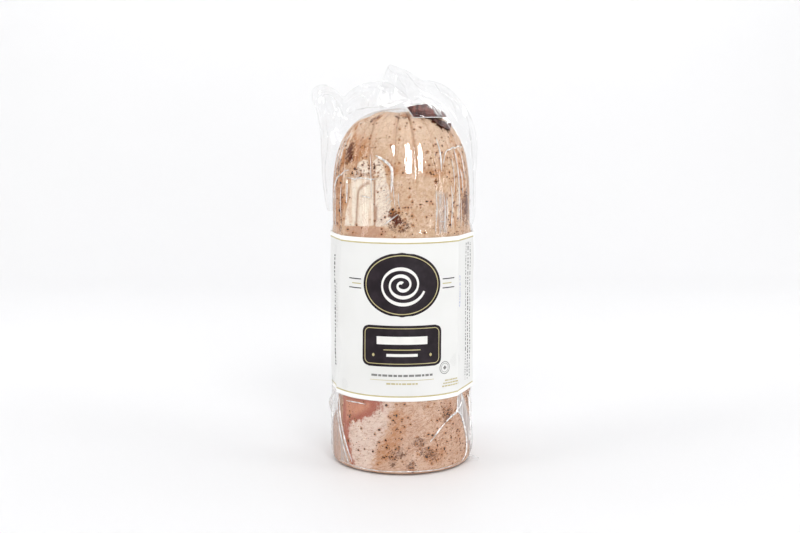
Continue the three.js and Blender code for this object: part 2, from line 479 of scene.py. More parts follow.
@dataclass
class MeshParts:
    """Vertices and faces gathered from several shapes before they become one mesh."""

    vertices: list[Array] = field(default_factory=list)
    faces: Faces = field(default_factory=list)
    slots: list[int] = field(default_factory=list)
    layers: dict[str, list[Array]] = field(default_factory=dict)
    count: int = 0

    def add(self, vertices: Array, faces: Faces, slot: int = 0, **layers: Array) -> None:
        """Adds a shape.

        Args:
            vertices: points in millimetres.
            faces: corner numbers within vertices.
            slot: material slot of the faces.
            layers: a number for each vertex, under a layer's name.
        """
        vertices = vertices.reshape(-1, 3)
        moved = [tuple(corner + self.count for corner in face) for face in faces]
        self.faces.extend(moved)
        self.slots.extend([slot] * len(moved))
        self.vertices.append(vertices)
        for name, values in layers.items():
            earlier = [np.zeros(self.count)] if self.count else []
            self.layers.setdefault(name, earlier).append(values.reshape(-1))
        self.count += len(vertices)
        for values in self.layers.values():
            missing = self.count - sum(len(v) for v in values)
            if missing:
                values.append(np.zeros(missing))

    def add_grid(self, points: Array, slot: int = 0, **layers: Array) -> None:
        """Adds an open grid of points as four-sided faces.

        Args:
            points: the grid.
            slot: material slot.
            layers: a number for each point.
        """
        rows, columns, _ = points.shape
        faces = [
            (i * columns + j, i * columns + j + 1, (i + 1) * columns + j + 1, (i + 1) * columns + j)
            for i in range(rows - 1)
            for j in range(columns - 1)
        ]
        self.add(points, faces, slot, **layers)

    def build(self, name: str, materials: list[Material], smooth: bool = True) -> Piece:
        """Makes the mesh object and puts it in the scene.

        Args:
            name: the piece's name.
            materials: one for each material slot.
            smooth: whether its faces are shaded smooth.

        Returns:
            The new object, riding on the part's body.
        """
        mesh = bpy.data.meshes.new(name)
        mesh.from_pydata((np.concatenate(self.vertices) * MM).tolist(), [], self.faces)
        mesh.polygons.foreach_set("material_index", self.slots)
        mesh.polygons.foreach_set("use_smooth", [smooth] * len(mesh.polygons))
        for layer, values in self.layers.items():
            mesh.attributes.new(layer, "FLOAT", "POINT").data.foreach_set("value", np.concatenate(values))
        for material in materials:
            mesh.materials.append(material)
        mesh.update()
        piece = bpy.data.objects.new(name, mesh)
        bpy.context.scene.collection.objects.link(piece)
        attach(piece, BODY)
        return piece


class Sketch:
    """A material's node tree, with short calls for the nodes that the finishes share."""

    def __init__(self, name: str) -> None:
        """Starts an empty material.

        Args:
            name: the material's name.
        """
        self.material = bpy.data.materials.new(name)
        self.material.use_nodes = True
        self.tree = self.material.node_tree
        self.tree.nodes.clear()
        self.output = self.node("ShaderNodeOutputMaterial")

    def node(self, kind: str, settings: dict | None = None, **inputs: object) -> bpy.types.Node:
        """Adds a node.

        Args:
            kind: the node's type name.
            settings: values of the node's own properties.
            inputs: values or sockets for its inputs, with underscores for spaces.

        Returns:
            The node.
        """
        made = self.tree.nodes.new(kind)
        for name, value in (settings or {}).items():
            setattr(made, name, value)
        for name, value in inputs.items():
            self.put(made.inputs[name.replace("_", " ")], value)
        return made

    def put(self, socket: Socket, value: object) -> None:
        """Links a socket to an input, or sets a plain value on it.

        Args:
            socket: the input.
            value: a number, colour or socket.
        """
        if isinstance(value, Socket):
            self.tree.links.new(value, socket)
        else:
            socket.default_value = value

    def layer(self, name: str) -> Socket:
        """The mesh's own number of that name."""
        return self.node("ShaderNodeAttribute", {"attribute_name": name}).outputs["Fac"]

    def noise(
        self, scale: float, detail: float = 3, stretch: float = 1, rough: float = 0.55, tilt: float = 0
    ) -> Socket:
        """Noise in the object's own space.

        Args:
            scale: cells in a metre.
            detail: how many finer layers it has.
            stretch: how far it is drawn out in height.
            rough: weight of the finer layers.
            tilt: how far it leans after that, in radians.

        Returns:
            A number from about 0 to 1.
        """
        place = self.node("ShaderNodeTexCoord").outputs["Object"]
        if tilt:
            place = self.node("ShaderNodeMapping", Vector=place, Rotation=(0, tilt, 0)).outputs[0]
        mapped = self.node("ShaderNodeMapping", Vector=place, Scale=(1, 1, 1 / stretch)).outputs[0]
        made = self.node("ShaderNodeTexNoise", Vector=mapped, Scale=scale, Detail=detail, Roughness=rough)
        return made.outputs["Fac"]

    def spots(self, scale: float, size: float) -> Socket:
        """Small round spots in the object's own space.

        Args:
            scale: spots in a metre.
            size: their radius, as a share of the room that each has.

        Returns:
            A number that is 1 at their middles and 0 outside them.
        """
        place = self.node("ShaderNodeTexCoord").outputs["Object"]
        cells = self.node("ShaderNodeTexVoronoi", Vector=place, Scale=scale).outputs["Distance"]
        return self.ramp(cells, size, size * 0.5)

    def ramp(self, value: object, low: float, high: float, start: float = 0, end: float = 1) -> Socket:
        """Smooth change of a value between two ends.

        Args:
            value: the value.
            low: where the change starts.
            high: where it ends.
            start: what comes out at low.
            end: what comes out at high.

        Returns:
            The changed value.
        """
        made = self.node("ShaderNodeMapRange", {"interpolation_type": "SMOOTHSTEP"})
        for slot, number in enumerate((value, low, high, start, end)):
            self.put(made.inputs[slot], number)
        return made.outputs["Result"]

    def math(self, how: str, first: object, second: object) -> Socket:
        """Two numbers combined.

        Args:
            how: Blender's name for the operation.
            first: the first number.
            second: the second number.

        Returns:
            The result.
        """
        made = self.node("ShaderNodeMath", {"operation": how})
        for slot, number in enumerate((first, second)):
            self.put(made.inputs[slot], number)
        return made.outputs[0]

    def plus(self, first: object, second: object) -> Socket:
        """Two numbers added."""
        return self.math("ADD", first, second)

    def times(self, first: object, second: object) -> Socket:
        """Two numbers multiplied."""
        return self.math("MULTIPLY", first, second)

    def centred(self, noise: Socket) -> Socket:
        """Noise moved to lie round 0."""
        return self.math("SUBTRACT", noise, 0.5)

    def mask(self, layer: str, wander: Socket, reach: float, soft: float) -> Socket:
        """A zone's mask, from its signed layer, with an edge that wanders with noise.

        Args:
            layer: the layer's name, whose numbers are positive inside the zone.
            wander: noise from 0 to 1 that moves the edge.
            reach: how far the edge moves.
            soft: half width of the edge.

        Returns:
            A number from 0 to 1.
        """
        moved = self.times(self.centred(wander), 2 * reach)
        return self.ramp(self.plus(self.layer(layer), moved), -soft, soft)

    def tint(self, below: object, *coats: tuple[object, object]) -> object:
        """Colours laid over another, one after the other.

        Args:
            below: the colour that they are laid on.
            coats: each coat's colour and how much of it shows.

        Returns:
            The colour that comes of them.
        """
        for coat, share in coats:
            made = self.node("ShaderNodeMix", {"data_type": "RGBA", "clamp_factor": True})
            self.put(made.inputs[0], share)
            for slot, colour in ((6, below), (7, coat)):
                self.put(made.inputs[slot], linear(colour) if isinstance(colour, tuple) else colour)
            below = made.outputs[2]
        return below

    def relief(self, height: object, distance: float) -> Socket:
        """Fine relief in millimetres as a normal."""
        return self.node("ShaderNodeBump", Height=height, Distance=distance * MM).outputs[0]

    def surface(self, colour: object, roughness: object, **inputs: object) -> bpy.types.Node:
        """Blender's standard surface.

        Args:
            colour: its colour, as a link or from 0 to 255.
            roughness: its roughness.
            inputs: values or links for its other inputs, with underscores for spaces.

        Returns:
            The shader.
        """
        colour = linear(colour) if isinstance(colour, tuple) else colour
        return self.node("ShaderNodeBsdfPrincipled", Base_Color=colour, Roughness=roughness, **inputs)

    def mix(self, share: object, first: bpy.types.Node, second: bpy.types.Node) -> bpy.types.Node:
        """Two shaders mixed.

        Args:
            share: how much of the second shows.
            first: the first shader.
            second: the second shader.

        Returns:
            The mixed shader.
        """
        made = self.node("ShaderNodeMixShader", Fac=share)
        for slot, shader in ((1, first), (2, second)):
            self.tree.links.new(shader.outputs[0], made.inputs[slot])
        return made

    def finish(self, shader: bpy.types.Node) -> Material:
        """Shows a shader and gives the material back."""
        self.tree.links.new(shader.outputs[0], self.output.inputs["Surface"])
        return self.material


class MeatSketch(Sketch):
    """The meat's node tree, with the noises that its colours share."""

    def __init__(self) -> None:
        """Starts it with three noises from slow to quick, a slanting one and an upright one."""
        super().__init__("cured_meat")
        self.broad = self.noise(45, 3)
        self.middle = self.noise(160, 4)
        self.fine = self.noise(560, 3, rough=0.65)
        self.grain = self.noise(330, 4, stretch=0.45, rough=0.75, tilt=0.7)
        self.streaks = self.noise(260, 3, stretch=7)


@dataclass(frozen=True)
class MeatFinish:
    """Cased meat: tan and mottled, with cream fat, red lean, rust and dark patches where the zones say, and
    painted shade in its creases, recesses and beside the film's folds.
    """

    tan: Colour = (216, 182, 150)
    deep_tan: Colour = (190, 147, 114)
    pale_tan: Colour = (233, 206, 181)
    cream: Colour = (248, 234, 216)
    grey_cream: Colour = (218, 197, 182)
    pink: Colour = (198, 154, 128)
    lean: Colour = (168, 91, 71)
    lean_light: Colour = (205, 141, 111)
    fat: Colour = (226, 202, 187)
    rust: Colour = (188, 120, 60)
    smudge: Colour = (98, 54, 26)
    dark: Colour = (90, 34, 2)
    blush: Colour = (196, 150, 135)
    # Brown of the seams, also used for painted shade beside the film's folds, along the foot, in the pleat
    # valleys and in the crown's recesses
    seam_and_shade: Colour = (160, 112, 80)
    vein: Colour = (172, 122, 90)
    dust: Colour = (112, 66, 40)

    def material(self) -> Material:
        """Makes the finish.

        Returns:
            The material.
        """
        s = MeatSketch()
        colour = s.tint(self.tan, *self._casing(s), *self._cream(s), *self._cut_face(s), *self._stains(s))
        shader = s.surface(
            colour,
            s.ramp(s.middle, 0.3, 0.7, 0.42, 0.6),
            Specular_IOR_Level=0.2,
            Subsurface_Weight=0.06,
            Subsurface_Radius=(1.0, 0.45, 0.25),
            Subsurface_Scale=0.002,
            Normal=s.relief(s.plus(s.plus(s.middle, s.fine), s.grain), 0.25),
        )
        return s.finish(shader)

    def _casing(self, s: MeatSketch) -> Coats:
        """The mottle and the fine veins of the tan casing.

        Args:
            s: the material.

        Returns:
            Their coats.
        """
        veins = self._contour(s, s.noise(95, 2, rough=0.6), 0.016)
        return (
            (self.deep_tan, s.ramp(s.broad, 0.45, 0.75, 0, 0.7)),
            (self.pale_tan, s.ramp(s.middle, 0.45, 0.7, 0, 0.8)),
            (self.deep_tan, s.ramp(s.grain, 0.5, 0.66, 0, 0.8)),
            (self.deep_tan, s.ramp(s.fine, 0.52, 0.7, 0, 0.55)),
            (self.pale_tan, s.ramp(s.fine, 0.46, 0.3, 0, 0.6)),
            (self.pale_tan, s.layer("pale")),
            (self.blush, s.layer("blush")),
            (self.vein, s.times(veins, s.ramp(s.fine, 0.4, 0.6, 0, 0.5))),
        )

    def _cream(self, s: MeatSketch) -> Coats:
        """The cream, mottled and pink patches above the band.

        Args:
            s: the material.

        Returns:
            Their coats.
        """
        cream = s.tint(self.cream, (self.pale_tan, s.ramp(s.streaks, 0.42, 0.7, 0, 0.9)))
        light = (self.cream, s.ramp(s.grain, 0.36, 0.57))
        mottle = s.tint(self.grey_cream, light, (self.rust, s.ramp(s.fine, 0.56, 0.7, 0, 0.55)))
        pink = s.times(s.mask("pink", s.middle, 0.35, 0.2), s.ramp(s.grain, 0.35, 0.6, 0.55, 1))
        return (
            (cream, s.mask("cream", s.middle, 0.14, 0.04)),
            (mottle, s.mask("mottled", s.middle, 0.16, 0.06)),
            (self.pink, pink),
        )

    def _cut_face(self, s: MeatSketch) -> Coats:
        """The wrinkled fat and the red lean below the band.

        Args:
            s: the material.

        Returns:
            Their coats.
        """
        inner = s.ramp(s.layer("lean"), 0.2, 0.75, 0.1, 1)
        lean = s.tint(self.lean, (self.lean_light, s.times(s.ramp(s.streaks, 0.3, 0.6, 0.3), inner)))
        fat = s.tint(
            self.fat,
            (self.lean_light, s.ramp(s.grain, 0.52, 0.72, 0, 0.4)),
            (self.cream, s.ramp(s.middle, 0.55, 0.7, 0, 0.5)),
        )
        fatty = s.mask("fat", s.plus(s.broad, s.centred(s.fine)), 0.7, 0.3)
        lines = self._contour(s, s.noise(110, 3, stretch=0.3, rough=0.6, tilt=0.35), 0.03)
        wrinkles = s.times(s.times(lines, s.ramp(fatty, 0, 1, 1, 0.65)), s.layer("wrinkled"))
        edge = s.plus(s.streaks, s.math("SUBTRACT", s.fine, s.middle))
        return (fat, fatty), (self.vein, wrinkles), (lean, s.mask("lean", edge, 0.36, 0.16))

    def _stains(self, s: MeatSketch) -> Coats:
        """Rust, streaks, smudges, dark patches and seams, painted shade in the pleat valleys, the crown's
        recesses, beside the film's folds and along the foot, and the stains and dust of the pepper. The pale
        streaks on the sides are partly painted glints of the film.

        Args:
            s: the material.

        Returns:
            Their coats.
        """
        # Zones on the sides whose pale streaks are partly the casing's own and partly painted glints of the
        # film
        sides = s.mask("streaks_and_glints", s.middle, 0.4, 0.4)
        smudge = s.times(s.mask("smudge", s.fine, 1.3, 0.2), s.ramp(s.grain, 0.42, 0.56, 0.1, 0.9))
        dust = s.times(s.spots(900, 0.22), s.ramp(s.middle, 0.46, 0.6, 0.15, 1))
        return (
            (self.rust, s.times(s.mask("rust", s.middle, 0.8, 0.5), s.ramp(s.grain, 0.35, 0.6, 0.15, 0.75))),
            # Pale streaks, partly the casing's own and partly painted glints of the film
            (self.cream, s.times(sides, s.ramp(s.streaks, 0.53, 0.66, 0, 0.75))),
            (self.rust, s.times(sides, s.ramp(s.streaks, 0.47, 0.36, 0, 0.8))),
            (self.smudge, smudge),
            (self.dark, s.mask("dark", s.plus(s.fine, s.centred(s.grain)), 1.3, 0.25)),
            # Seam lines, with painted shadows beside the film's folds and painted contact shade along the
            # foot
            (self.seam_and_shade, s.times(s.layer("seam_and_shade"), 0.75)),
            # Painted shade in the pleat valleys and in the crown's recesses
            (self.seam_and_shade, s.times(s.layer("valley"), s.ramp(s.middle, 0.3, 0.6))),
            (self.rust, s.times(s.spots(430, 0.2), s.ramp(s.broad, 0.42, 0.6, 0.1, 0.9))),
            (self.dust, s.times(dust, 0.8)),
            (self.rust, s.ramp(s.plus(s.layer("stain"), s.centred(s.fine)), 0.15, 0.8, 0, 0.65)),
        )

    @staticmethod
    def _contour(s: Sketch, noise: Socket, width: float) -> Socket:
        """Fine wandering lines, where a noise passes through its middle value."""
        return s.ramp(s.math("ABSOLUTE", s.centred(noise), 0.0), width, 0.0)


@dataclass(frozen=True)
class LeanFinish:
    """Dark, dry lean meat of the flap on the crown."""

    light: Colour = (134, 76, 66)
    deep: Colour = (52, 20, 18)

    def material(self) -> Material:
        """Makes the finish.

        Returns:
            The material.
        """
        s = Sketch("dark_lean")
        fibres = s.noise(300, 4, stretch=2.5, rough=0.7)
        colour = s.tint(self.deep, (self.light, s.ramp(fibres, 0.35, 0.7)))
        return s.finish(s.surface(colour, 0.5, Specular_IOR_Level=0.25, Normal=s.relief(fibres, 0.4)))


@dataclass(frozen=True)
class PepperFinish:
    """Cracked black pepper."""

    light: Colour = (92, 44, 20)
    deep: Colour = (34, 14, 7)

    def material(self) -> Material:
        """Makes the finish.

        Returns:
            The material.
        """
        s = Sketch("cracked_pepper")
        colour = s.tint(self.deep, (self.light, s.ramp(s.noise(700, 2), 0.45, 0.7)))
        return s.finish(s.surface(colour, 0.6, Specular_IOR_Level=0.2))


@dataclass(frozen=True)
class FilmFinish:
    """Clear glossy film: nearly invisible, with sharp reflections, and hazy where crumpled or doubled."""

    name: str
    head_on: float = 0.045
    edge_on: float = 0.42
    roughness: float = 0.07
    least_haze: float = 0.0
    relief: float = 0.03
    mirror: Colour = (255, 255, 255)
    haze: Colour = (212, 212, 213)
    clear: Colour = (252, 252, 252)
    cloud_roughness: float = 0.35
    edge_sharpness: float = 5.0

    def material(self) -> Material:
        """Makes the finish.

        Returns:
            The material.
        """
        s = Sketch(self.name)
        wrinkles = s.noise(240, 3, stretch=9, rough=0.6)
        crumple = s.noise(90, 3, rough=0.6)
        normal = s.relief(s.plus(wrinkles, crumple), self.relief)
        mirror = s.surface(self.mirror, self.roughness, Metallic=1.0, Normal=normal)
        cloud = s.surface(self.haze, self.cloud_roughness, Normal=normal)
        clear = s.node("ShaderNodeBsdfTransparent", Color=linear(self.clear))
        facing = s.node("ShaderNodeLayerWeight", Blend=0.5, Normal=normal).outputs["Facing"]
        grazing = s.times(s.math("POWER", facing, self.edge_sharpness), self.edge_on - self.head_on)
        gloss = s.mix(s.plus(grazing, self.head_on), clear, mirror)
        patchy = s.times(s.layer("haze"), s.ramp(wrinkles, 0.35, 0.75, 0.35, 1.2))
        return s.finish(s.mix(s.plus(patchy, self.least_haze), gloss, cloud))


class Film(Enum):
    """The film where it clings, where it is pinched into folds, and where two sheets of it stand loose."""

    CLINGING = FilmFinish("clear_film")
    FOLDED = FilmFinish(
        "folded_film", head_on=0.16, edge_on=0.7, roughness=0.12, least_haze=0.2, haze=(255, 255, 255)
    )
    LOOSE = FilmFinish("loose_film", head_on=0.018, edge_on=0.34, haze=(250, 250, 250))

    @property
    def slot(self) -> int:
        """Its material slot in the bag's mesh."""
        return [*Film].index(self)


@dataclass(frozen=True)
class PaperFinish:
    """Smooth coated paper."""

    name: str = "band_paper"
    colour: Colour = (231, 231, 229)
    shade: Colour = (224, 224, 221)

    def material(self) -> Material:
        """Makes the finish.

        Returns:
            The material.
        """
        s = Sketch(self.name)
        colour = s.tint(self.colour, (self.shade, s.ramp(s.noise(25, 2), 0.4, 0.8, 0, 0.6)))
        fibres = s.noise(900, 3)
        gloss = s.ramp(fibres, 0.3, 0.7, 0.34, 0.44)
        return s.finish(s.surface(colour, gloss, Specular_IOR_Level=0.25, Normal=s.relief(fibres, 0.02)))


@dataclass(frozen=True)
class InkFinish:
    """A printed colour, slightly uneven, as ink lies on paper."""

    name: str
    colour: Colour
    worn: Colour
    roughness: float = 0.4

    def material(self) -> Material:
        """Makes the finish.

        Returns:
            The material.
        """
        s = Sketch(self.name)
        colour = s.tint(self.colour, (self.worn, s.ramp(s.noise(140, 3), 0.35, 0.8)))
        return s.finish(s.surface(colour, self.roughness, Specular_IOR_Level=0.15))


class Ink(Enum):
    """The inks of the band's print."""

    PLUM = InkFinish("plum_ink", (34, 27, 32), (48, 40, 46))
    GOLD = InkFinish("gold_ink", (190, 178, 130), (206, 196, 152))
    WHITE = InkFinish("white_ink", (240, 238, 234), (232, 230, 226))
    GREY = InkFinish("grey_ink", (120, 120, 118), (146, 146, 143))
    BLUE = InkFinish("blue_ink", (92, 112, 196), (126, 142, 208))


@dataclass(frozen=True)
class Zone:
    """A patch of one kind of meat, as an oval or a rounded rectangle on the roll."""

    angle: float
    height: float
    half_width: float
    half_height: float
    squareness: float = 2.0
    lean: float = 0.0


@dataclass(frozen=True)
class Line:
    """A thin line on the roll, through [angle, height] points."""

    points: Flat
    width: float = 0.9
    strength: float = 1.0


# Zones of each layer of the meat, with a Zone's values in their order
ZONES = {
    "pink": ((-31, 172, 17, 3.6, 4), (-80, 25, 16, 30)),
    "rust": (
        (-69, 205, 14, 36), (67, 205, 9, 34), (-7, 216, 6, 4), (29, 213, 9, 3), (-9, 24, 7, 18, 2, 0.5),
        (-4, 43, 5, 5), (27, 14, 8, 6), (-40, 251, 6, 3), (6, 253.4, 8, 1.6), (-112, 196, 14, 20),
    ),
    "dark": (
        (-53.2, 228.5, 3.4, 4.6), (-50.5, 222.5, 2.2, 2.6), (-5, 182.3, 4, 6, 2, -0.5),
        (29.2, 207.7, 1.6, 1.9), (71, 190, 4.4, 8), (50, 247.5, 7, 5.5, 2, -1.3), (162, 221, 3.5, 6),
    ),
    "smudge": (
        (-53.5, 226, 5.6, 7.5), (-41.5, 250.7, 5, 2, 2, 1.5), (-8, 252.9, 3.2, 0.8), (3, 251.6, 7, 0.9),
        (70, 188, 10, 13), (72, 190, 7, 9), (-68, 217, 3.5, 6), (-1, 177, 7, 4), (23, 15, 6.5, 4.5, 2, -0.8),
        (14, 24, 4.5, 3.5), (8, 7, 3.5, 4), (40, 41.5, 4.5, 6), (-2, 17, 4.5, 4), (-7, 12, 2.5, 6),
        (-60, 187, 2.2, 15), (-118, 14, 9, 6), (96, 222, 6, 8),
    ),
    # Side zones whose pale streaks are partly painted glints of the film
    "streaks_and_glints": (
        (-66, 240, 14, 12), (62, 200, 18, 36), (42, 184, 14, 16), (-66, 200, 12, 36), (120, 205, 26, 30),
        (-125, 205, 26, 30),
    ),
    "cream": ((128, 205, 18, 24, 2.4, 0.2),),
    "lean": ((150, 32, 22, 14, 2.2, -0.5),),
    "fat": ((118, 26, 16, 20, 3), (-132, 30, 18, 18, 3)),
    "mottled": ((-142, 214, 15, 13, 3),),
}
# Patches of each layer with uneven outlines, through [angle, height] corners
PATCHES = {
    "cream": (
        ((-46.7, 210), (-29, 210.7), (-23.3, 209.5), (-22.6, 176.5), (-54.7, 175), (-53.2, 184), (-49, 193)),
    ),
    "mottled": (
        ((-43.8, 211), (-43.4, 216), (-39.8, 220.4), (-34.7, 222), (-30, 221), (-27.9, 216), (-27.4, 211)),
        ((-25, 211), (-25.2, 221), (-21.3, 222.8), (-16.6, 219.8), (-14.6, 215), (-12.7, 210)),
        ((-22, 210), (-12.7, 209.6), (-10, 201.5), (-8.5, 191), (-8.5, 180), (-11, 176.8), (-22, 176.5)),
    ),
    "lean": (
        (
            (-60, 56), (-59.2, 39), (-57.6, 31.5), (-50, 30), (-45, 35), (-33.5, 39), (-26.4, 43), (-22, 46),
            (-20.6, 56),
        ),
        (
            (-57.5, 38), (-51.6, 37), (-49, 28.7), (-46.6, 16), (-43.7, 4.7), (-48, 4.6), (-53, 17),
            (-57.7, 27),
        ),
        ((-20, 53.3), (-16.4, 53), (-16.2, 46.4), (-18.5, 47)),
    ),
    "rust": (
        ((-70, 238), (-51, 239), (-35, 238), (-29.5, 232), (-33, 222), (-47, 218), (-57, 214), (-70, 218)),
    ),
    "fat": (
        (
            (-54, 40), (-24.6, 48), (-16, 58), (-5, 58), (-4.6, 47.6), (-11, 40), (-13, 32), (-18, 21),
            (-21, 9), (-26, 1), (-44, 1), (-52, 20),
        ),
    ),
}
SEAMS = (
    Line(((-38.5, 250), (-32.8, 243.4), (-32.3, 237.3)), 1.2, 0.8),
    Line(((-32.3, 237.3), (-28.4, 224.4), (-25.1, 212)), 0.6, 0.6),
    Line(((-24.5, 213), (-22.9, 205), (-22.4, 177))),
    Line(((-8.6, 253), (-8, 236), (-8.4, 216), (-7, 205)), 0.6, 0.4),
    Line(((-9.6, 215.8), (-6.6, 205), (-6.1, 194.7)), 0.7, 0.5),
    Line(((-47.4, 211.4), (-36, 211.8), (-24.7, 211.6)), 0.8),
    Line(((-28.5, 206.6), (-35, 203), (-38.5, 200), (-39.6, 190), (-41, 176.7)), 1.1),
    Line(((-21, 189), (-21.5, 181)), 1.3),
    # A painted pleat shadow near the dome's left outline
    Line(((-74, 230), (-75, 240), (-70, 249)), 1.3),
    Line(((-78, 226), (-79, 200), (-78, 175)), 1.3, 0.7),
    Line(((77, 232), (78, 215), (78, 180)), 1.1, 0.6),
    Line(((-26.3, 236.3), (-17, 236.8), (-8.3, 236.4)), 0.4, 0.35),
    Line(((-25.7, 234.3), (-17, 234.6), (-8.1, 234.3)), 0.4, 0.35),
    Line(((117, 222), (119, 205), (116, 184))),
)
# Where the pepper lies thicker: angle, height, half width, half height and strength
PEPPER_PATCHES = (
    (0, 216, 14, 5, 4), (30, 214, 14, 5, 5), (36, 232, 9, 14, 4), (-36, 215.5, 6, 4.5, 16),
    (-21, 217, 4, 3.5, 14), (-36, 211.5, 8, 1.5, 14), (-55, 230, 7, 9, 8), (-66, 200, 8, 28, 7),
    (62, 205, 12, 24, 7), (-4, 182, 4.5, 7, 12), (8, 184, 9, 8, 4), (45, 182, 12, 12, 5),
    (-30, 173, 20, 2.5, 4), (-3, 41, 7, 5, 9), (-6, 30, 6, 8, 6), (-12, 17, 7, 6, 10), (-2, 15, 6, 5, 9),
    (15, 23, 6, 5, 9), (23, 15, 8, 5, 16), (8, 6.5, 4, 3.5, 16), (40, 42, 6, 6, 12), (48, 24, 14, 14, 4),
    (-48, 40, 3, 6, 12), (78, 46, 8, 8, 12), (128, 212, 14, 14, 5), (-140, 216, 16, 12, 6),
    (150, 28, 20, 14, 5), (-118, 18, 18, 10, 6),
)
# The largest chips of pepper: angle, height and half width
LARGE_CHIPS = (
    (-2, 243, 0.7), (-10, 232, 0.7), (-32, 236, 0.7), (-60, 224, 0.7), (-9, 218, 0.8), (21, 244, 0.8),
    (43, 237, 0.6), (40, 231, 0.7), (23, 227, 0.8), (38, 226, 0.8), (32, 227, 0.6), (48, 222, 0.7),
    (55, 223, 0.7), (23, 218, 0.9), (29, 208, 1.1), (6, 203, 0.7), (3, 188, 0.7), (5, 188, 0.7),
    (20, 183, 0.7), (9, 177, 0.8), (24, 194, 0.7), (23, 191, 0.5), (43, 196, 0.8), (49, 194, 0.7),
    (66, 212, 0.8), (56, 204, 0.7), (43, 176, 0.9), (1, 213, 0.8), (27, 212, 0.8), (6, 196, 0.6),
    (-36, 211, 0.9), (-29, 216, 0.8), (-24, 216, 0.8), (-47, 212, 0.8), (-41, 215, 0.7), (-21, 218, 0.5),
    (-22, 180, 0.7), (-14, 183, 0.7), (-40, 176, 0.8), (-50, 173, 1.0), (-16, 175, 0.7), (-63, 192, 0.6),
    (-63, 185, 1.0), (-56, 180, 0.7), (-4, 52, 0.7), (2, 52, 0.8), (-11, 43, 0.7), (-9, 42, 0.6),
    (-4, 44, 0.9), (5, 42, 0.7), (-5, 38, 0.5), (-4, 34, 0.7), (-22, 29, 0.7), (-13, 26, 0.8), (-18, 24, 0.8),
    (-24, 17, 0.7), (-38, 16, 0.8), (-12, 20, 1.0), (-2, 21, 0.7), (7, 37, 0.8), (22, 49, 0.7), (33, 51, 0.6),
    (43, 49, 0.7), (32, 39, 0.6), (30, 33, 0.7), (44, 24, 0.7), (39, 22, 0.7), (28, 25, 0.8), (54, 24, 0.7),
    (37, 17, 1.0), (12, 23, 0.9), (17, 25, 0.6), (25, 8, 0.8), (9, 9, 0.7), (20, 13, 1.1), (13, 16, 0.9),
    (7, 6, 0.9), (40, 42, 1.1), (-21, 21, 0.5), (-48, 38, 0.8), (-48, 43, 0.6),
)


@dataclass(frozen=True)
class FlapLobe:
    """One lobe of the flap of lean meat: its corners in the front view, and where its front and back stand.

    Where the dome stands further forward, the lobe lies on the dome. The creases of the film over it are
    lines of [x, z] points.
    """

    corners: Flat
    front: float
    back: float
    haze: float = 0.03
    proud: float = 1.0
    taper: float = 0.5
    creases: tuple[Flat, ...] = ()

    def front_at(self, form: RollForm, flat: Array) -> Array:
        """Where the lobe's front stands at [x, z] places."""
        over = np.sqrt(np.clip(form.plain_radius(flat[..., 1]) ** 2 - flat[..., 0] ** 2, 0, None))
        return np.minimum(self.front, -over - self.proud)

    def sides(self, form: RollForm, grow: float, rows: int = 22) -> list[Array]:
        """The lobe's six sides as grids of points.

        Args:
            form: the roll that the lobe lies on.
            grow: how far its faces stand out from the meat.
            rows: steps along each side.

        Returns:
            A grid for each side, facing out.
        """
        line = np.linspace(-1, 1, rows)
        a, b = np.meshgrid(line, line)
        side = np.ones_like(a)
        cube = ((a, b, side), (b, a, -side), (a, -side, b), (b, side, a), (side, a, b), (-side, b, a))
        corners = np.array(self.corners)
        centre = corners.mean(0)
        root = np.array([centre[0], corners[:, 1].min()])
        made = []
        for x, y, z in cube:
            turns = ((x, y, z), (y, x, z), (z, x, y))
            wide, deep, high = ((v * np.sqrt(1 - 0.06 * (u**2 + w**2)) + 1) / 2 for v, u, w in turns)
            right, up = wide[..., None], high[..., None]
            flat = blend(blend(corners[0], corners[1], right), blend(corners[3], corners[2], right), up)
            flat = centre + (flat - centre) * (1 + grow / 9)
            front = self.front_at(form, flat)
            flat = root + (flat - root) * (1 - self.taper * deep[..., None] ** 1.5)
            depth = blend(front - grow, self.back + grow, deep)
            sunk = 0.16 * (depth - front) * up[..., 0]
            points = np.stack([flat[..., 0], depth, flat[..., 1] - sunk], -1)
            made.append(points + 0.2 * Ripples(9, 7).at(points)[..., None] * np.array([0.3, 0.6, 1.0]))
        return made


FLAP = (
    FlapLobe(
        ((8.0, 250.8), (24.8, 250.9), (19.8, 260.7), (3.2, 258.5)), -23.5, 8.0,
        creases=(
            ((2.6, 258.6), (8, 259.6), (15, 260.6), (20, 261.2)),
            ((20.2, 260.6), (22.6, 256.4), (25.4, 252)), ((3, 258.2), (5.4, 254.6), (8.2, 250.8)),
            ((6.0, 250.4), (14, 250.6), (22.5, 250.8), (31.6, 250.7)),
        ),
    ),
    FlapLobe(
        ((23.5, 251.0), (31.5, 250.8), (30.6, 254.0), (19.8, 260.4)), -22.5, -2.0, haze=0.5,
        creases=(
            ((20, 261), (25, 258), (29, 254.6), (32, 251.2)), ((21.8, 259.4), (25, 255.8), (28.6, 251.8)),
        ),
    ),
    FlapLobe(
        ((25.3, 246.2), (34.2, 241.2), (35.6, 246.6), (20.5, 250.9)), -14.0, -2.0, haze=0.04, proud=2.6,
        creases=(
            ((31.2, 250.6), (34.5, 247.4), (36.3, 242.6)), ((29.4, 249.6), (32, 246.4), (34.4, 242.8)),
        ),
    ),
)


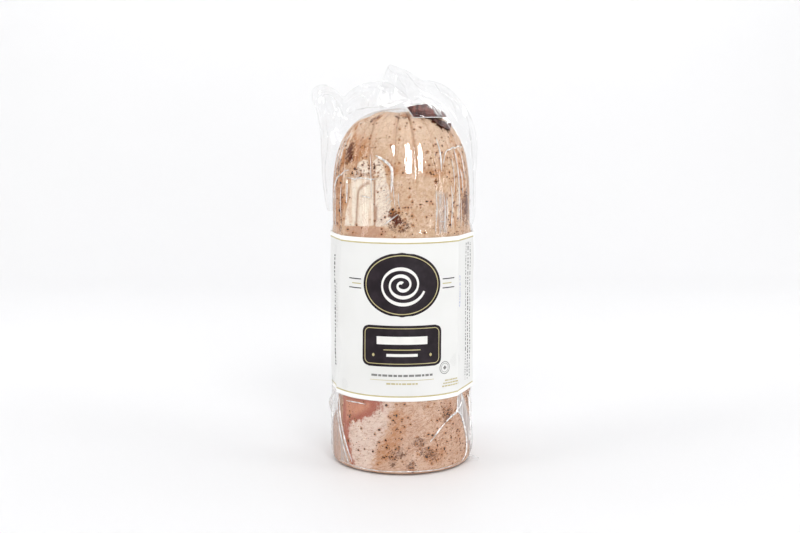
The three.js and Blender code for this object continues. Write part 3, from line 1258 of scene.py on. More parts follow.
@dataclass
class CuredRoll:
    """The meat inside the bag: its pleated surface with its zones, the flap on the crown, and the pepper."""

    form: RollForm
    columns: int = 400
    side_step: float = 0.9
    dome_rows: int = 104
    lump_height: float = 0.22
    pepper_count: int = 1500
    pepper_seed: int = 11
    stain_reach: int = 4

    def build(self) -> list[Piece]:
        """Makes the meat, its flap and its pepper.

        Returns:
            The three pieces.
        """
        grid = SkinGrid(self.form, Layer.MEAT, self.columns, self.side_step, self.dome_rows)
        degrees, z, points = grid.points()
        normals = grid.outward(points)
        lumps = Ripples(3, 14).at(points) * 0.6 + Ripples(4, 5).at(points) * 0.4
        gathers = Ripples(5, 9).at(np.stack([degrees * 1.1, z / 9], -1)) * smoothstep(z, 215, 245)
        visible = smoothstep(z, 1, 4) * (1 - self.form.band.hold(z, 3))
        height = (self.lump_height * lumps + 0.3 * gathers) * visible
        points = points + normals * np.minimum(height, 0.3)[..., None]
        draw = np.random.default_rng(self.pepper_seed)
        chosen, sizes = self._pepper_places(draw, self.form.stray(degrees), z, points)
        roll = self._roll(degrees, z, points, self._pepper_stains(points, chosen, sizes))
        return [roll, self._flap(), self._pepper(draw, points, normals, chosen, sizes)]

    @staticmethod
    def _zone_field(zone: Zone, degrees: Array, z: Array) -> Array:
        """How far inside a zone each point lies: 1 at its middle, 0 on its edge and below 0 outside.

        Args:
            zone: the zone.
            degrees: angles.
            z: heights.

        Returns:
            A number for each point.
        """
        up = z - zone.height
        across = within_half_turn(degrees - zone.angle) * ARC - zone.lean * up
        power = zone.squareness
        wide, high = np.abs(across / zone.half_width) ** power, np.abs(up / zone.half_height) ** power
        return np.clip(1 - (wide + high) ** (1 / power), -1, 1)

    @staticmethod
    def _nearness(line: Line, degrees: Array, z: Array) -> Array:
        """How near each point is to a line: the line's strength on it, falling off with its width."""
        return line.strength * bump(distance_to(line.points, laid_flat(degrees, z)) / line.width)

    def _roll(self, degrees: Array, z: Array, points: Array, stains: Array) -> Piece:
        """Makes the meat's own surface with its zones as layers.

        Args:
            degrees: angles of its points.
            z: their plain heights.
            points: the points.
            stains: strength of the pepper's stain at each.

        Returns:
            The piece.
        """
        turned = self.form.stray(degrees)
        layers = {}
        for layer, rows in ZONES.items():
            zones = [self._zone_field(Zone(*row), turned, z) for row in rows]
            patches = [depth_inside(corners, turned, z) for corners in PATCHES.get(layer, ())]
            layers[layer] = np.max([*zones, *patches], axis=0)
        # Painted contact shade along the foot, where the roll meets the floor
        foot = 0.8 * bump(z / 1.3)
        # Painted shadows of the film's folds: soft brown lines on the meat under them
        fold_shadows = [Line(fold.points, fold.half_width + 0.4, 0.4) for fold in FOLDS]
        lines = (self._nearness(line, turned, z) for line in (*SEAMS, *fold_shadows))
        layers["seam_and_shade"] = np.max([foot, *lines], axis=0)
        # Painted shade: darker in the pleat valleys near the crown and in the crown's recesses
        crease, recess = self.form.pleat(degrees, 14), self.form.pleat(degrees, 3)
        layers["valley"] = 0.3 * crease * smoothstep(z, 195, 245) + 0.8 * recess * smoothstep(z, 248, 254)
        layers["stain"] = stains
        layers["pale"] = 0.45 * smoothstep(z, 222, 240)
        layers["blush"] = 0.35 * (1 - smoothstep(z, 50, 60))
        layers["wrinkled"] = 0.25 + 0.75 * (1 - smoothstep(z, 50, 60)) - 0.1 * smoothstep(z, 180, 215)
        vertices, faces = SkinGrid.closed(points)
        ends = {name: np.append(values.reshape(-1), [-1.0, -1.0]) for name, values in layers.items()}
        parts = MeshParts()
        parts.add(vertices, faces, **ends)
        roll = parts.build("cured_roll", [MeatFinish().material()])
        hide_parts("bagged_pancetta")
        return roll

    def _flap(self) -> Piece:
        """Makes the flap of dark lean meat on the crown.

        Returns:
            The piece.
        """
        parts = MeshParts()
        for lobe in FLAP:
            for grid in lobe.sides(self.form, 0):
                parts.add_grid(grid)
        flap = parts.build("lean_flap", [LeanFinish().material()])
        return flap

    def _pepper_places(
        self, draw: np.random.Generator, degrees: Array, z: Array, points: Array
    ) -> tuple[Array, Array]:
        """Picks the grid points that carry pepper, more of them where the patches say.

        Args:
            draw: source of random numbers.
            degrees: angles of the grid's points.
            z: their plain heights.
            points: the grid's points.

        Returns:
            Numbers of the picked points, and the half width of each chip.
        """
        thick = 0.45 + smoothstep(Ripples(21, 26).at(points), 0.0, 1.2) * 1.6
        for angle, height, wide, high, strength in PEPPER_PATCHES:
            across = within_half_turn(degrees - angle) * ARC / wide
            thick = thick + strength * bump(across) * bump((z - height) / high)
        area = np.abs(np.gradient(np.unwrap(np.radians(degrees), axis=1), axis=1) * np.gradient(z, axis=0))
        shown = (1 - self.form.band.hold(z, 0.1)) * (z > 2) * (z < 254)
        barely = 1 - 0.85 * np.clip(depth_inside(PATCHES["cream"][0], degrees, z) * 6, 0, 1)
        weight = (thick * area * shown * barely).reshape(-1)
        chosen = draw.choice(weight.size, self.pepper_count, replace=False, p=weight / weight.sum())
        placed = [self._nearest(degrees, z, angle, height) for angle, height, _ in LARGE_CHIPS]
        sizes = 0.3 + 1.1 * draw.beta(1.0, 4.2, self.pepper_count)
        return np.append(chosen, placed), np.append(sizes, [1.12 * size for *_, size in LARGE_CHIPS])

    @staticmethod
    def _nearest(degrees: Array, z: Array, angle: float, height: float) -> int:
        """Number of the grid point nearest to an angle and a height."""
        row = int(np.abs(z[:, 0] - height).argmin())
        return row * z.shape[1] + int(np.abs(within_half_turn(degrees[row] - angle)).argmin())

    def _pepper_stains(self, points: Array, chosen: Array, sizes: Array) -> Array:
        """Rusty stains in the meat round its pepper.

        Args:
            points: the grid's points.
            chosen: numbers of the points that carry pepper.
            sizes: half widths of the chips.

        Returns:
            Strength of the stain at each of the grid's points.
        """
        rows, columns, _ = points.shape
        row, column = np.divmod(chosen, columns)
        centre = points[row, column]
        stain = np.zeros((rows, columns))
        reach = range(-self.stain_reach, self.stain_reach + 1)
        for up in reach:
            for across in reach:
                at = np.clip(row + up, 0, rows - 1), (column + across) % columns
                near = bump(np.linalg.norm(points[at] - centre, axis=-1) / (1.4 * sizes + 0.2))
                np.maximum.at(stain, at, near * np.clip(sizes * 1.5, 0.3, 1))
        return stain

    @staticmethod
    def _pepper(
        draw: np.random.Generator, points: Array, normals: Array, chosen: Array, sizes: Array
    ) -> Piece:
        """Makes the chips of cracked pepper at their places on the meat.

        Args:
            draw: source of random numbers.
            points: the meat's points.
            normals: its normals there.
            chosen: numbers of the points that carry a chip.
            sizes: half widths of the chips.

        Returns:
            The piece.
        """
        centre, out = points.reshape(-1, 3)[chosen], normals.reshape(-1, 3)[chosen]
        parts = MeshParts()
        for place, way, size in zip(centre, out, sizes):
            vertices, faces = pepper_chip(draw, size, way)
            parts.add(vertices + place + way * 0.03, faces)
        pepper = parts.build("cracked_pepper", [PepperFinish().material()], smooth=False)
        return pepper


def pepper_chip(draw: np.random.Generator, size: float, out: Array) -> tuple[Array, Faces]:
    """One flat, uneven chip of pepper that lies on the meat.

    Args:
        draw: source of random numbers.
        size: its half width.
        out: the direction away from the meat.

    Returns:
        Its vertices round the origin, and its faces.
    """
    sides = 7
    turn = np.linspace(0, 2 * np.pi, sides, endpoint=False) + draw.uniform(0, 6)
    reach = size * draw.uniform(0.5, 1.3, sides)
    stretch = draw.uniform(0.5, 1.0)
    uneven = draw.uniform(-0.03, 0.03, sides)
    rim = np.stack([reach * np.cos(turn), stretch * reach * np.sin(turn), uneven], -1)
    top = np.stack([0.55 * rim[:, 0], 0.55 * rim[:, 1], np.full(sides, min(0.28, 0.5 * size))], -1)
    low = np.array([[0, 0, -0.35]])
    local = np.concatenate([rim, top, low])
    side = np.cross(out, [0.0, 0.0, 1.0] if abs(out[2]) < 0.9 else [1.0, 0.0, 0.0])
    side /= np.linalg.norm(side)
    axes = np.stack([side, np.cross(out, side), out])
    faces: Faces = [tuple(range(sides, 2 * sides))]
    for k in range(sides):
        n = (k + 1) % sides
        faces.append((k, n, sides + n, sides + k))
        faces.append((n, k, 2 * sides))
    return local @ axes, faces


def laid_flat(degrees: Array, z: Array) -> Array:
    """Places on the roll laid flat, in millimetres."""
    return np.stack([degrees * ARC, z], -1)


def distance_to(points: Flat, flat: Array) -> Array:
    """Distance from flat places to a line through [angle, height] points.

    Args:
        points: the line's points.
        flat: places on the roll laid flat.

    Returns:
        Distances in millimetres.
    """
    path = [np.array([angle * ARC, height]) for angle, height in points]
    nearest = np.full(flat.shape[:-1], 1e9)
    for start, end in zip(path, path[1:]):
        run = end - start
        share = np.clip(((flat - start) @ run) / (run @ run), 0, 1)
        nearest = np.minimum(nearest, np.linalg.norm(flat - start - share[..., None] * run, axis=-1))
    return nearest


def depth_inside(corners: Flat, degrees: Array, z: Array) -> Array:
    """How far places on the roll lie inside a closed outline.

    Args:
        corners: the outline's [angle, height] points.
        degrees: angles of the places.
        z: their heights.

    Returns:
        Depths in centimetres, below 0 outside and at most 1.
    """
    ring = [*corners, corners[0]]
    inside = np.zeros(z.shape, bool)
    for (ax, az), (bx, bz) in zip(ring, ring[1:]):
        slope = (bx - ax) / (bz - az) if bz != az else 0.0
        inside ^= ((az > z) != (bz > z)) & (degrees < ax + (z - az) * slope)
    gap = distance_to(ring, laid_flat(degrees, z))
    return np.clip(np.where(inside, gap, -gap) / 10, -1, 1)


# Where the film stands off the meat and looks cloudy: how cloudy, and the patch's [angle, height] corners
HAZE_PATCHES = (
    (0.75, ((53, 58), (51.5, 43.5), (60, 30.5), (69, 17), (76, 3), (97, 3), (84, 24), (70, 40), (62, 58))),
    (0.38, ((-112, 58), (-66, 58), (-63, 40), (-56, 22), (-46, 4), (-60, 2), (-100, 2))),
    (0.5, ((30, 200), (30, 170), (41, 170), (41, 200))),
    (0.3, ((28, 201.5), (28, 196), (35, 196), (35, 201.5))),
    (0.14, ((-98, 210), (-72, 210), (-70, 172), (-98, 172))),
)


@dataclass(frozen=True)
class Fold:
    """A pinched fold that stands out of the clinging film, along a line through [angle, height] points."""

    points: Flat
    height: float = 0.7
    half_width: float = 0.5
    steps: int | None = None


FOLDS = (
    Fold(((-23.5, 225.1), (-15.9, 221.8), (-8.8, 217.1), (-7.8, 209.7), (-8.5, 200)), 0.9, 1.3),
    Fold(((-76, 192), (-72.5, 203), (-66, 209.5), (-58, 212.8), (-49.5, 214.5)), 0.7, 0.6),
    Fold(((37, 219), (42.4, 226.9), (51.9, 229.5), (66, 230.5), (81.6, 230.3)), 0.7, 0.6),
    Fold(((-2.5, 185.1), (-8, 181.5), (-14.1, 177.4)), 0.8, 0.5),
    Fold(((-35.4, 196.8), (-26, 196.4)), 0.6, 0.5),
    Fold(((-53, 208.8), (-36, 209.2), (-21, 208.9)), 0.6, 0.5),
    Fold(((-51.5, 208), (-50.8, 200), (-51.5, 191)), 0.7, 0.6),
    Fold(((35, 237), (35.6, 226), (34.5, 214)), 0.8, 0.7),
    Fold(((54.5, 229), (55, 205), (54.5, 178)), 0.6, 0.5),
    Fold(((-28.6, 226), (-26.4, 212), (-25, 196)), 0.5, 0.4),
    Fold(((-13.6, 195.5), (-11.5, 197.5), (-9.6, 199)), 0.4, 0.25),
    Fold(((-13.6, 192.5), (-11, 195), (-8.4, 197.2)), 0.4, 0.25),
    Fold(((-11.3, 191.7), (-9, 193.8), (-7.6, 195.6)), 0.4, 0.25),
    Fold(((-6.8, 206), (-6, 196), (-4.8, 189)), 0.4, 0.3),
    Fold(((-2.6, 200), (-2.3, 193), (-0.6, 187.5)), 0.4, 0.3),
    Fold(((32, 179.4), (36, 179), (40, 179.4)), 0.5, 0.3),
    Fold(((39, 195.5), (39.6, 188), (40, 181)), 0.6, 0.45),
    Fold(((28.5, 201), (29.5, 188), (28, 171)), 0.6, 0.6),
    Fold(((36, 199), (37.5, 186), (37, 173)), 0.7, 0.6),
    Fold(((44, 204), (45.5, 192), (44.5, 174)), 0.6, 0.5),
    Fold(((60, 216), (61.2, 206), (61, 198)), 0.5, 0.4),
    Fold(((48.5, 222), (49, 212), (48.4, 199)), 0.4, 0.3),
    Fold(((57.6, 196), (58.4, 186), (57.8, 174)), 0.4, 0.3),
    Fold(((66, 227), (67, 219), (66.5, 208)), 0.4, 0.3),
    Fold(((-70, 200), (-71.5, 190), (-70.6, 174)), 0.5, 0.4),
    Fold(((-64.5, 240), (-66.5, 230), (-67, 216)), 0.4, 0.35),
    Fold(((-73.5, 236), (-75, 224), (-74.6, 208)), 0.5, 0.4),
    Fold(((-59.8, 205), (-60.6, 193), (-59.6, 181)), 0.4, 0.3),
    Fold(((-52, 49.8), (-40, 50.4), (-30.1, 50.2)), 0.6, 0.5),
    Fold(((-64, 50), (-61.5, 37.5), (-53, 20), (-44.3, 5.5)), 0.9, 0.8),
    Fold(((-68, 48), (-65.5, 36), (-57.5, 19), (-49, 4.5)), 0.7, 0.7),
    Fold(((-88, 47), (-82, 40), (-74, 38.5)), 0.8, 0.8),
    Fold(((-86, 30), (-80, 37), (-72.5, 42)), 0.7, 0.7),
    Fold(((-79, 51.5), (-77, 42), (-79, 28)), 0.8, 0.7),
    Fold(((51.9, 53), (51.9, 42.8), (45, 39.8), (38.1, 36.4)), 1.1, 1.0),
    Fold(((38.1, 36.4), (30, 30), (23, 23.5)), 0.6, 0.8),
    Fold(
        ((62, 51.5), (56, 45), (51.7, 42.6), (57.5, 38.5), (62, 30), (66.5, 18), (65.5, 8), (58, 3.6)), 1, 0.9
    ),
    Fold(((74, 50), (76, 34), (73, 16)), 0.9, 1.0),
    Fold(((-60, 4.4), (-44, 3.6), (-22, 3.1), (4, 3.3), (30, 3.0), (57, 3.8)), 0.3, 0.45),
)


@dataclass(frozen=True)
class LooseEnd:
    """A stretch of the bag's loose double film, between the roll and the film's own edge.

    The edge is a list of [x, z] points. Each end has its own depth function of x, z and how far out a point
    lies, and pouches where the two sheets stand apart, each as x, z, width, height and depth.
    """

    edge: Flat
    depth: Callable[[Array, Array, Array], Array]
    pouches: tuple[tuple[float, float, float, float, float], ...]
    creases: tuple[Flat, ...]
    seed: int
    columns: int = 150
    rows: int = 36

    def sheets(self, form: RollForm) -> list[tuple[Array, Array]]:
        """The front and the back sheet, each with its haze.

        Args:
            form: the roll that the film leaves.

        Returns:
            A grid of points and a grid of haze for each sheet.
        """
        right, up = smooth_path(self.edge, self.columns).T
        out = np.linspace(0, 1, self.rows)[:, None]
        inward = 0.93 / form.reach(right, up)
        start = form.dome_start
        root = np.where(up > start, start + (up - start) * inward, up)
        x = right * blend(inward, 1, out)
        z = blend(root, up, out)
        reach = form.reach(x, z)
        clear = smoothstep(reach, 1.0, 1.12)
        middle = self.depth(x, z, reach)
        apart = 0.25 + 6 * bump((reach - 1) / 0.07) * smoothstep(z, 225, 250)
        for px, pz, wide, high, deep in self.pouches:
            apart = apart + deep * bump(np.hypot((x - px) / wide, (z - pz) / high))
        apart = apart * (1 - np.abs(2 * out - 1) ** 6) + 0.1
        flat = np.stack([x, z], -1)
        haze = 0.025 + 0.07 * bump((out - 1) / 0.03) + 0.04 * bump((out - 0.86) / 0.015) + 0 * x
        edgewise = 1 - smoothstep(out, 0.93, 1.0)
        shift = 0.35 * Ripples(self.seed + 3, 9, sharp=True).at(flat) * clear
        made = []
        for side in (-1, 1):
            big = Ripples(self.seed + side, 19, sharp=True).at(flat)
            small = Ripples(self.seed + 7 * side, 7.5, sharp=True).at(flat)
            crumple = (0.9 * big + 0.12 * small) * clear * edgewise
            y = middle + side * 0.5 * apart + crumple * np.clip(apart, 0.35, 1.4)
            points = np.stack([x + shift * (1 - out), y, z + shift * (1 - out)], -1)
            made.append((points[:, ::-side], haze))
        return made


def smooth_path(points: Flat, count: int) -> Array:
    """Evenly spaced points on a smooth curve through the given ones.

    Args:
        points: points that the curve goes through.
        count: how many points to give back.

    Returns:
        The points, one in each row.
    """
    given = np.array(list(points), float)
    padded = np.concatenate([2 * given[:1] - given[1:2], given, 2 * given[-1:] - given[-2:-1]])
    dense = []
    for a, b, c, d in zip(padded, padded[1:], padded[2:], padded[3:]):
        t = np.linspace(0, 1, 24, endpoint=False)[:, None]
        square, cube = (2 * a - 5 * b + 4 * c - d) * t**2, (3 * b - a - 3 * c + d) * t**3
        dense.append(0.5 * (2 * b + (c - a) * t + square + cube))
    dense.append(given[-1:])
    return even_path(np.concatenate(dense), count)


def even_path(path: Array, count: int) -> Array:
    """Evenly spaced points along a path of straight runs.

    Args:
        path: the path's points, one in each row.
        count: how many points to give back.

    Returns:
        The points, one in each row.
    """
    run = np.concatenate([[0], np.cumsum(np.linalg.norm(np.diff(path, axis=0), axis=1))])
    even = np.linspace(0, run[-1], count)
    return np.stack([np.interp(even, run, path[:, k]) for k in range(path.shape[1])], -1)


LEFT_END = LooseEnd(
    edge=(
        (-51.5, 183), (-54.4, 186), (-56.8, 205), (-57.5, 222), (-58, 238), (-60.5, 255), (-64, 265),
        (-62, 271.5), (-55, 273.5), (-48, 270.5), (-41.5, 265.5), (-36, 270), (-26, 274.8), (-13, 276),
        (-3, 272), (6, 263), (11, 254),
    ),
    depth=lambda x, z, reach: (
        -1.5
        + 1.5 * np.sin(z / 13 + 0.8) * smoothstep(-x, 44, 56)
        - smoothstep(reach, 1, 1.3) * (3 + 4.4 * np.sin(x / 5.3 + 0.6) + 1.8 * np.sin(z / 3.6 + x / 9))
    ),
    pouches=((-54.5, 262, 8, 10, 8.5), (-17, 264, 13, 8, 6)),
    creases=(
        ((-59, 259), (-56, 266), (-50, 266), (-46, 259), (-49, 251)),
        ((-54, 246), (-53, 232), (-55, 215), (-54, 196)), ((-47, 262), (-43, 254), (-44, 246)),
        ((-38, 262), (-30, 266), (-24, 263), (-25, 258), (-33, 256)),
        ((-19, 272), (-12, 268), (-8, 262), (-14, 259)), ((-40, 252), (-33, 255.5), (-24, 257.5), (-12, 258)),
    ),
    seed=40,
)
RIGHT_END = LooseEnd(
    edge=(
        (-17, 262), (-13, 279), (-9, 288), (-5, 287.5), (4, 284), (14, 277.5), (23, 276.5), (32, 273),
        (41, 264), (49, 252.5), (53.5, 241), (55, 226), (53.6, 205), (53.4, 180), (50.5, 171.5),
    ),
    depth=lambda x, z, reach: (
        2
        + 1.2 * np.sin(z / 11) * smoothstep(x, 42, 54)
        + smoothstep(reach, 1, 1.3) * (3.5 + 4.2 * np.sin(x / 4.8 + 2.1) + 1.6 * np.sin(z / 3.4 - x / 8))
    ),
    pouches=((27, 266, 12, 7, 6),),
    creases=(
        ((-10, 286), (-4, 280), (2, 272), (3, 266)), ((3, 283), (9, 275), (14, 270), (15, 264)),
        ((24, 275), (29, 268), (36, 262), (39, 255)), ((8, 262.5), (15, 265), (22, 263.5), (31, 258)),
        ((44, 257), (48, 247), (50, 236), (51, 222)), ((47, 244), (51, 228), (52, 206), (52, 186)),
    ),
    seed=60,
)


def smooth_run(values: Array, reach: int = 3) -> Array:
    """Values averaged with their neighbours along a path."""
    padded = np.pad(values, reach, mode="edge")
    return np.convolve(padded, np.full(2 * reach + 1, 1 / (2 * reach + 1)), mode="valid")


@dataclass
class VacuumBag:
    """The clear bag: the film that clings to the roll, its pinched folds, and its loose ends."""

    form: RollForm
    columns: int = 360
    side_step: float = 1.4
    dome_rows: int = 72
    pinches: int = 60
    pinch_seed: int = 19
    taut: Pair = (12.0, 224.0)
    tube_sides: int = 6
    parts: MeshParts = field(default_factory=MeshParts)

    def build(self) -> Piece:
        """Makes the bag as one piece.

        Returns:
            The piece.
        """
        self._cling()
        loose = Film.LOOSE.slot
        for lobe in FLAP:
            for grid in lobe.sides(self.form, 0.5, rows=16):
                self.parts.add_grid(grid, loose, haze=np.full(grid.shape[:-1], lobe.haze))
            for crease in lobe.creases:
                flat = smooth_path(crease, 24)
                path = np.column_stack([flat[:, 0], lobe.front_at(self.form, flat) - 0.7, flat[:, 1]])
                self._tube(path, 0.28, Film.FOLDED.slot, 0.55)
        for end in (LEFT_END, RIGHT_END):
            sheets = end.sheets(self.form)
            for points, haze in sheets:
                self.parts.add_grid(points, loose, haze=haze)
            front = sheets[0][0]
            self._tube(front[-1], 0.22, loose, 0.03)
            for crease in end.creases:
                flat = smooth_path(crease, 40)
                gap = np.linalg.norm(front[None, :, :, ::2] - flat[:, None, None], axis=-1)
                nearest = front.reshape(-1, 3)[gap.reshape(len(flat), -1).argmin(1)]
                path = np.column_stack([flat[:, 0], smooth_run(nearest[:, 1]), flat[:, 1]])
                self._tube(path, 0.45, loose, 0.03)
        self._foot_corner()
        for fold in (*FOLDS, *self._pinches()):
            self._fold(fold)
        bag = self.parts.build("bag_film", [film.value.material() for film in Film])
        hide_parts("bagged_pancetta")
        return bag

    def _relief(self, degrees: Array, z: Array, points: Array) -> Array:
        """Wrinkles of the clinging film, mostly upright, where the vacuum has gathered it.

        Args:
            degrees: angles.
            z: heights.
            points: the film's points.

        Returns:
            Millimetres outwards.
        """
        upright = Ripples(31, 7).at(laid_flat(degrees, z / 11))
        finer = Ripples(32, 3.4).at(laid_flat(degrees, z / 8))
        dents = Ripples(33, 22).at(points)
        gathered = 0.35 + smoothstep(Ripples(34, 50).at(points), -0.4, 1.2)
        free = (1 - self.form.band.hold(z, 3)) * smoothstep(z, 0, 4)
        angle, height = self.taut
        taut = 1 - 0.5 * bump((degrees - angle) / 20) * bump((z - height) / 24)
        return (0.13 * upright + 0.05 * finer + 0.1 * dents) * gathered * free * taut

    def _cling(self) -> None:
        """Adds the film that clings to the roll."""
        grid = SkinGrid(self.form, Layer.FILM, self.columns, self.side_step, self.dome_rows)
        degrees, z, points = grid.points()
        relief = np.maximum(self._relief(degrees, z, points), -0.28)
        points = points + grid.outward(points) * relief[..., None]
        vertices, faces = grid.closed(points)
        haze = self._haze(degrees, z).reshape(-1)
        self.parts.add(vertices, faces, haze=np.append(haze, haze[-1:].repeat(2)))

    def _haze(self, degrees: Array, z: Array) -> Array:
        """Haze of the clinging film: the tented stretches at the sides are cloudier.

        Args:
            degrees: angles.
            z: heights.

        Returns:
            A number for each point.
        """
        turned = within_half_turn(self.form.stray(degrees))
        cloudy = smoothstep(turned, 28, 40) * (1 - smoothstep(z, 194, 205)) * smoothstep(z, 160, 168)
        haze = 0.008 + 0.05 * cloudy
        for cloud, corners in HAZE_PATCHES:
            haze = np.maximum(haze, cloud * smoothstep(depth_inside(corners, turned, z), -0.05, 0.2))
        return haze

    def _pinches(self) -> Iterable[Fold]:
        """Small upright pinches of the film, strewn over the roll's sides and back.

        Returns:
            The folds, one after the other.
        """
        draw = np.random.default_rng(self.pinch_seed)
        for side in draw.choice((-1, 1), self.pinches):
            angle = side * draw.uniform(80, 172)
            low, high = (6, 44) if draw.uniform() < 0.3 else (171, 226)
            start = draw.uniform(low, high)
            end = min(start + draw.uniform(3, 16), high + 6)
            middle, last = angle + draw.normal(0, 0.5), angle + draw.normal(0, 1.2)
            points = ((angle, start), (middle, (start + end) / 2), (last, end))
            yield Fold(points, draw.uniform(0.2, 0.5), draw.uniform(0.18, 0.38), steps=14)

    def _fold(self, fold: Fold) -> None:
        """Adds one pinched fold as a low ridge.

        Args:
            fold: the fold.
        """
        path = smooth_path(fold.points, fold.steps or 10 * len(fold.points))
        run = np.gradient(path[:, 0]) * ARC, np.gradient(path[:, 1])
        span = np.hypot(*run)
        taper = np.sin(np.linspace(0, np.pi, len(path))) ** 0.4 * (0.8 + 0.18 * Ripples(37, 9).at(path))
        rows = []
        for share, lift in ((-1, -0.12), (-0.35, 0.55), (0, 1), (0.35, 0.55), (1, -0.12)):
            wide = share * fold.half_width * taper
            degrees = path[:, 0] - wide * run[1] / span / ARC
            heights = np.clip(path[:, 1] + wide * run[0] / span, 2, 255)
            degrees = self.form.before_straying(degrees)
            place = self.form.skin(degrees, self.form.plain_radius(heights), heights, Layer.FILM)
            out = place - np.array([0, 0, 1]) * place[:, 2:]
            out /= np.linalg.norm(out, axis=-1, keepdims=True)
            up = smoothstep(heights, 190, 256)[:, None] * np.array([0, 0, 1.0])
            amount = np.where(lift > 0, lift * fold.height * taper, lift)
            rows.append(place + (out + up) * amount[:, None])
        points = np.stack(rows)
        haze = np.clip(0.7 + 0.3 * Ripples(35, 5).at(points), 0.2, 0.95)
        self.parts.add_grid(points, Film.FOLDED.slot, haze=haze)

    def _tube(self, path: Array, radius: float, slot: int, haze: float) -> None:
        """Adds a thin roll of film along a path of [x, y, z] points, tapering at its ends.

        Args:
            path: its middle line.
            radius: its radius at the middle of the path.
            slot: its material slot.
            haze: its middling haze.
        """
        run = np.gradient(path, axis=0)
        run /= np.linalg.norm(run, axis=-1, keepdims=True)
        side = np.cross(run, np.array([0.1, 1.0, 0.15]))
        side /= np.linalg.norm(side, axis=-1, keepdims=True)
        up = np.cross(side, run)
        taper = radius * np.sin(np.linspace(0.05, np.pi - 0.05, len(path))) ** 0.35
        turn = np.linspace(0, 2 * np.pi, self.tube_sides + 1)[:, None, None]
        points = path + taper[:, None] * (side * np.cos(turn) + up * np.sin(turn))
        self.parts.add_grid(points, slot, haze=np.clip(haze + 0.14 * Ripples(36, 22).at(points), 0, 0.9))

    def _foot_corner(self) -> None:
        """Adds the corner of film that lies on the floor at the right foot."""
        out, across = np.meshgrid(np.linspace(0, 1, 26), np.linspace(-0.5, 0.5, 22))
        x = blend(44, 57, out)
        y = -9 - 3 * out + 18 * across * (1 - 0.75 * out**1.5)
        lift = 1.5 + 4.5 * (1 - out) * (1 - 3 * across**2) + 0.5 * out * np.cos(9 * across)
        creases = 0.35 * Ripples(81, 5, sharp=True).at(np.stack([x, y], -1))
        points = np.stack([x, y, np.clip(lift + creases, 0.2, None)], -1)
        self.parts.add_grid(points, haze=np.full(out.shape, 0.12))


@dataclass
class PaperBand:
    """The paper band, creased where it crosses the bag's fins and lapped at the back."""

    form: BandForm
    columns: int = 420
    rows: int = 90
    rim_rows: int = 4
    thickness: float = 0.25
    edge_line: Pair = (3.0, 4.0)
    lap: Pair = (166.0, 179.0)
    crease_height: float = 0.32

    def surface(self, degrees: Array, z: Array, lift: float = 0.0) -> Array:
        """Points on the band's outer face.

        Args:
            degrees: angles.
            z: heights.
            lift: how far the points stand out from the paper.

        Returns:
            Points in millimetres.
        """
        degrees, z = np.broadcast_arrays(np.asarray(degrees, float), np.asarray(z, float))
        turned = within_half_turn(degrees)
        creased = turned + self._crease_wander(turned, z)
        radius = self.form.radius(creased)
        for angle, *_ in self.form.creases[1:3]:
            radius = radius + self.crease_height * bump((creased - angle) / 1.6)
        flat = np.stack([turned * 0.9, z], -1)
        radius = radius + 0.13 * Ripples(51, 34, warp=0).at(flat) + 0.03 * Ripples(52, 16, warp=0).at(flat)
        radius = radius + 0.45 * bump((turned + 72) / 9) * smoothstep(z, 158, 168.4)
        start, end = self.lap
        lap = smoothstep(turned, start - 0.4, start + 0.4) * (turned < end)
        radius = radius + 0.3 * lap + lift - 0.05
        angle = np.radians(degrees)
        return np.stack([radius * np.sin(angle), -radius * np.cos(angle), z], -1)

    @staticmethod
    def _crease_wander(degrees: Array, z: Array) -> Array:
        """How far the left crease strays from upright at a height, in degrees.

        Args:
            degrees: angles.
            z: heights.

        Returns:
            Degrees for each point.
        """
        heights = (53.6, 59, 86, 100, 130, 165, 168.4)
        strays = (9.5, 9.0, -1.5, 4.0, 1.5, -1.0, -1.0)
        return np.interp(z, heights, strays) * bump((degrees + 60) / 22)

    def build(self) -> Piece:
        """Makes the band with its edge lines.

        Returns:
            The piece.
        """
        turn = np.linspace(-np.pi, np.pi, self.columns, endpoint=False)
        degrees = np.degrees(turn - 0.3 * np.sin(turn))
        near, far = self.edge_line
        low, high = self.form.bottom, self.form.top
        marks = [low, low + near, low + far, high - far, high - near, high]
        rim = self.rim_rows
        runs = zip(marks, marks[1:], (rim, 1, self.rows, 1, rim))
        z = np.concatenate([*(np.linspace(a, b, n, endpoint=False) for a, b, n in runs), [high]])
        a, b = np.meshgrid(degrees, z)
        outer, inner = self.surface(a, b), self.surface(a, b, -self.thickness)
        loop = np.concatenate([outer, inner[::-1]])
        count = len(loop)
        gold = {rim, rim + 1 + self.rows}
        parts = MeshParts()
        faces, slots = [], []
        for i in range(count):
            row, following = i * self.columns, (i + 1) % count * self.columns
            for j in range(self.columns):
                k = (j + 1) % self.columns
                faces.append((row + j, row + k, following + k, following + j))
                slots.append(1 if i in gold else 2 if i < rim or len(z) - rim - 1 <= i < len(z) - 1 else 0)
        parts.add(loop, faces)
        parts.slots = slots
        edge_paper = PaperFinish("band_edge_paper", (252, 251, 248), (248, 247, 243))
        finishes = (PaperFinish(), Ink.GOLD.value, edge_paper)
        band = parts.build("paper_sleeve", [finish.material() for finish in finishes])
        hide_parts("paper_band")
        return band


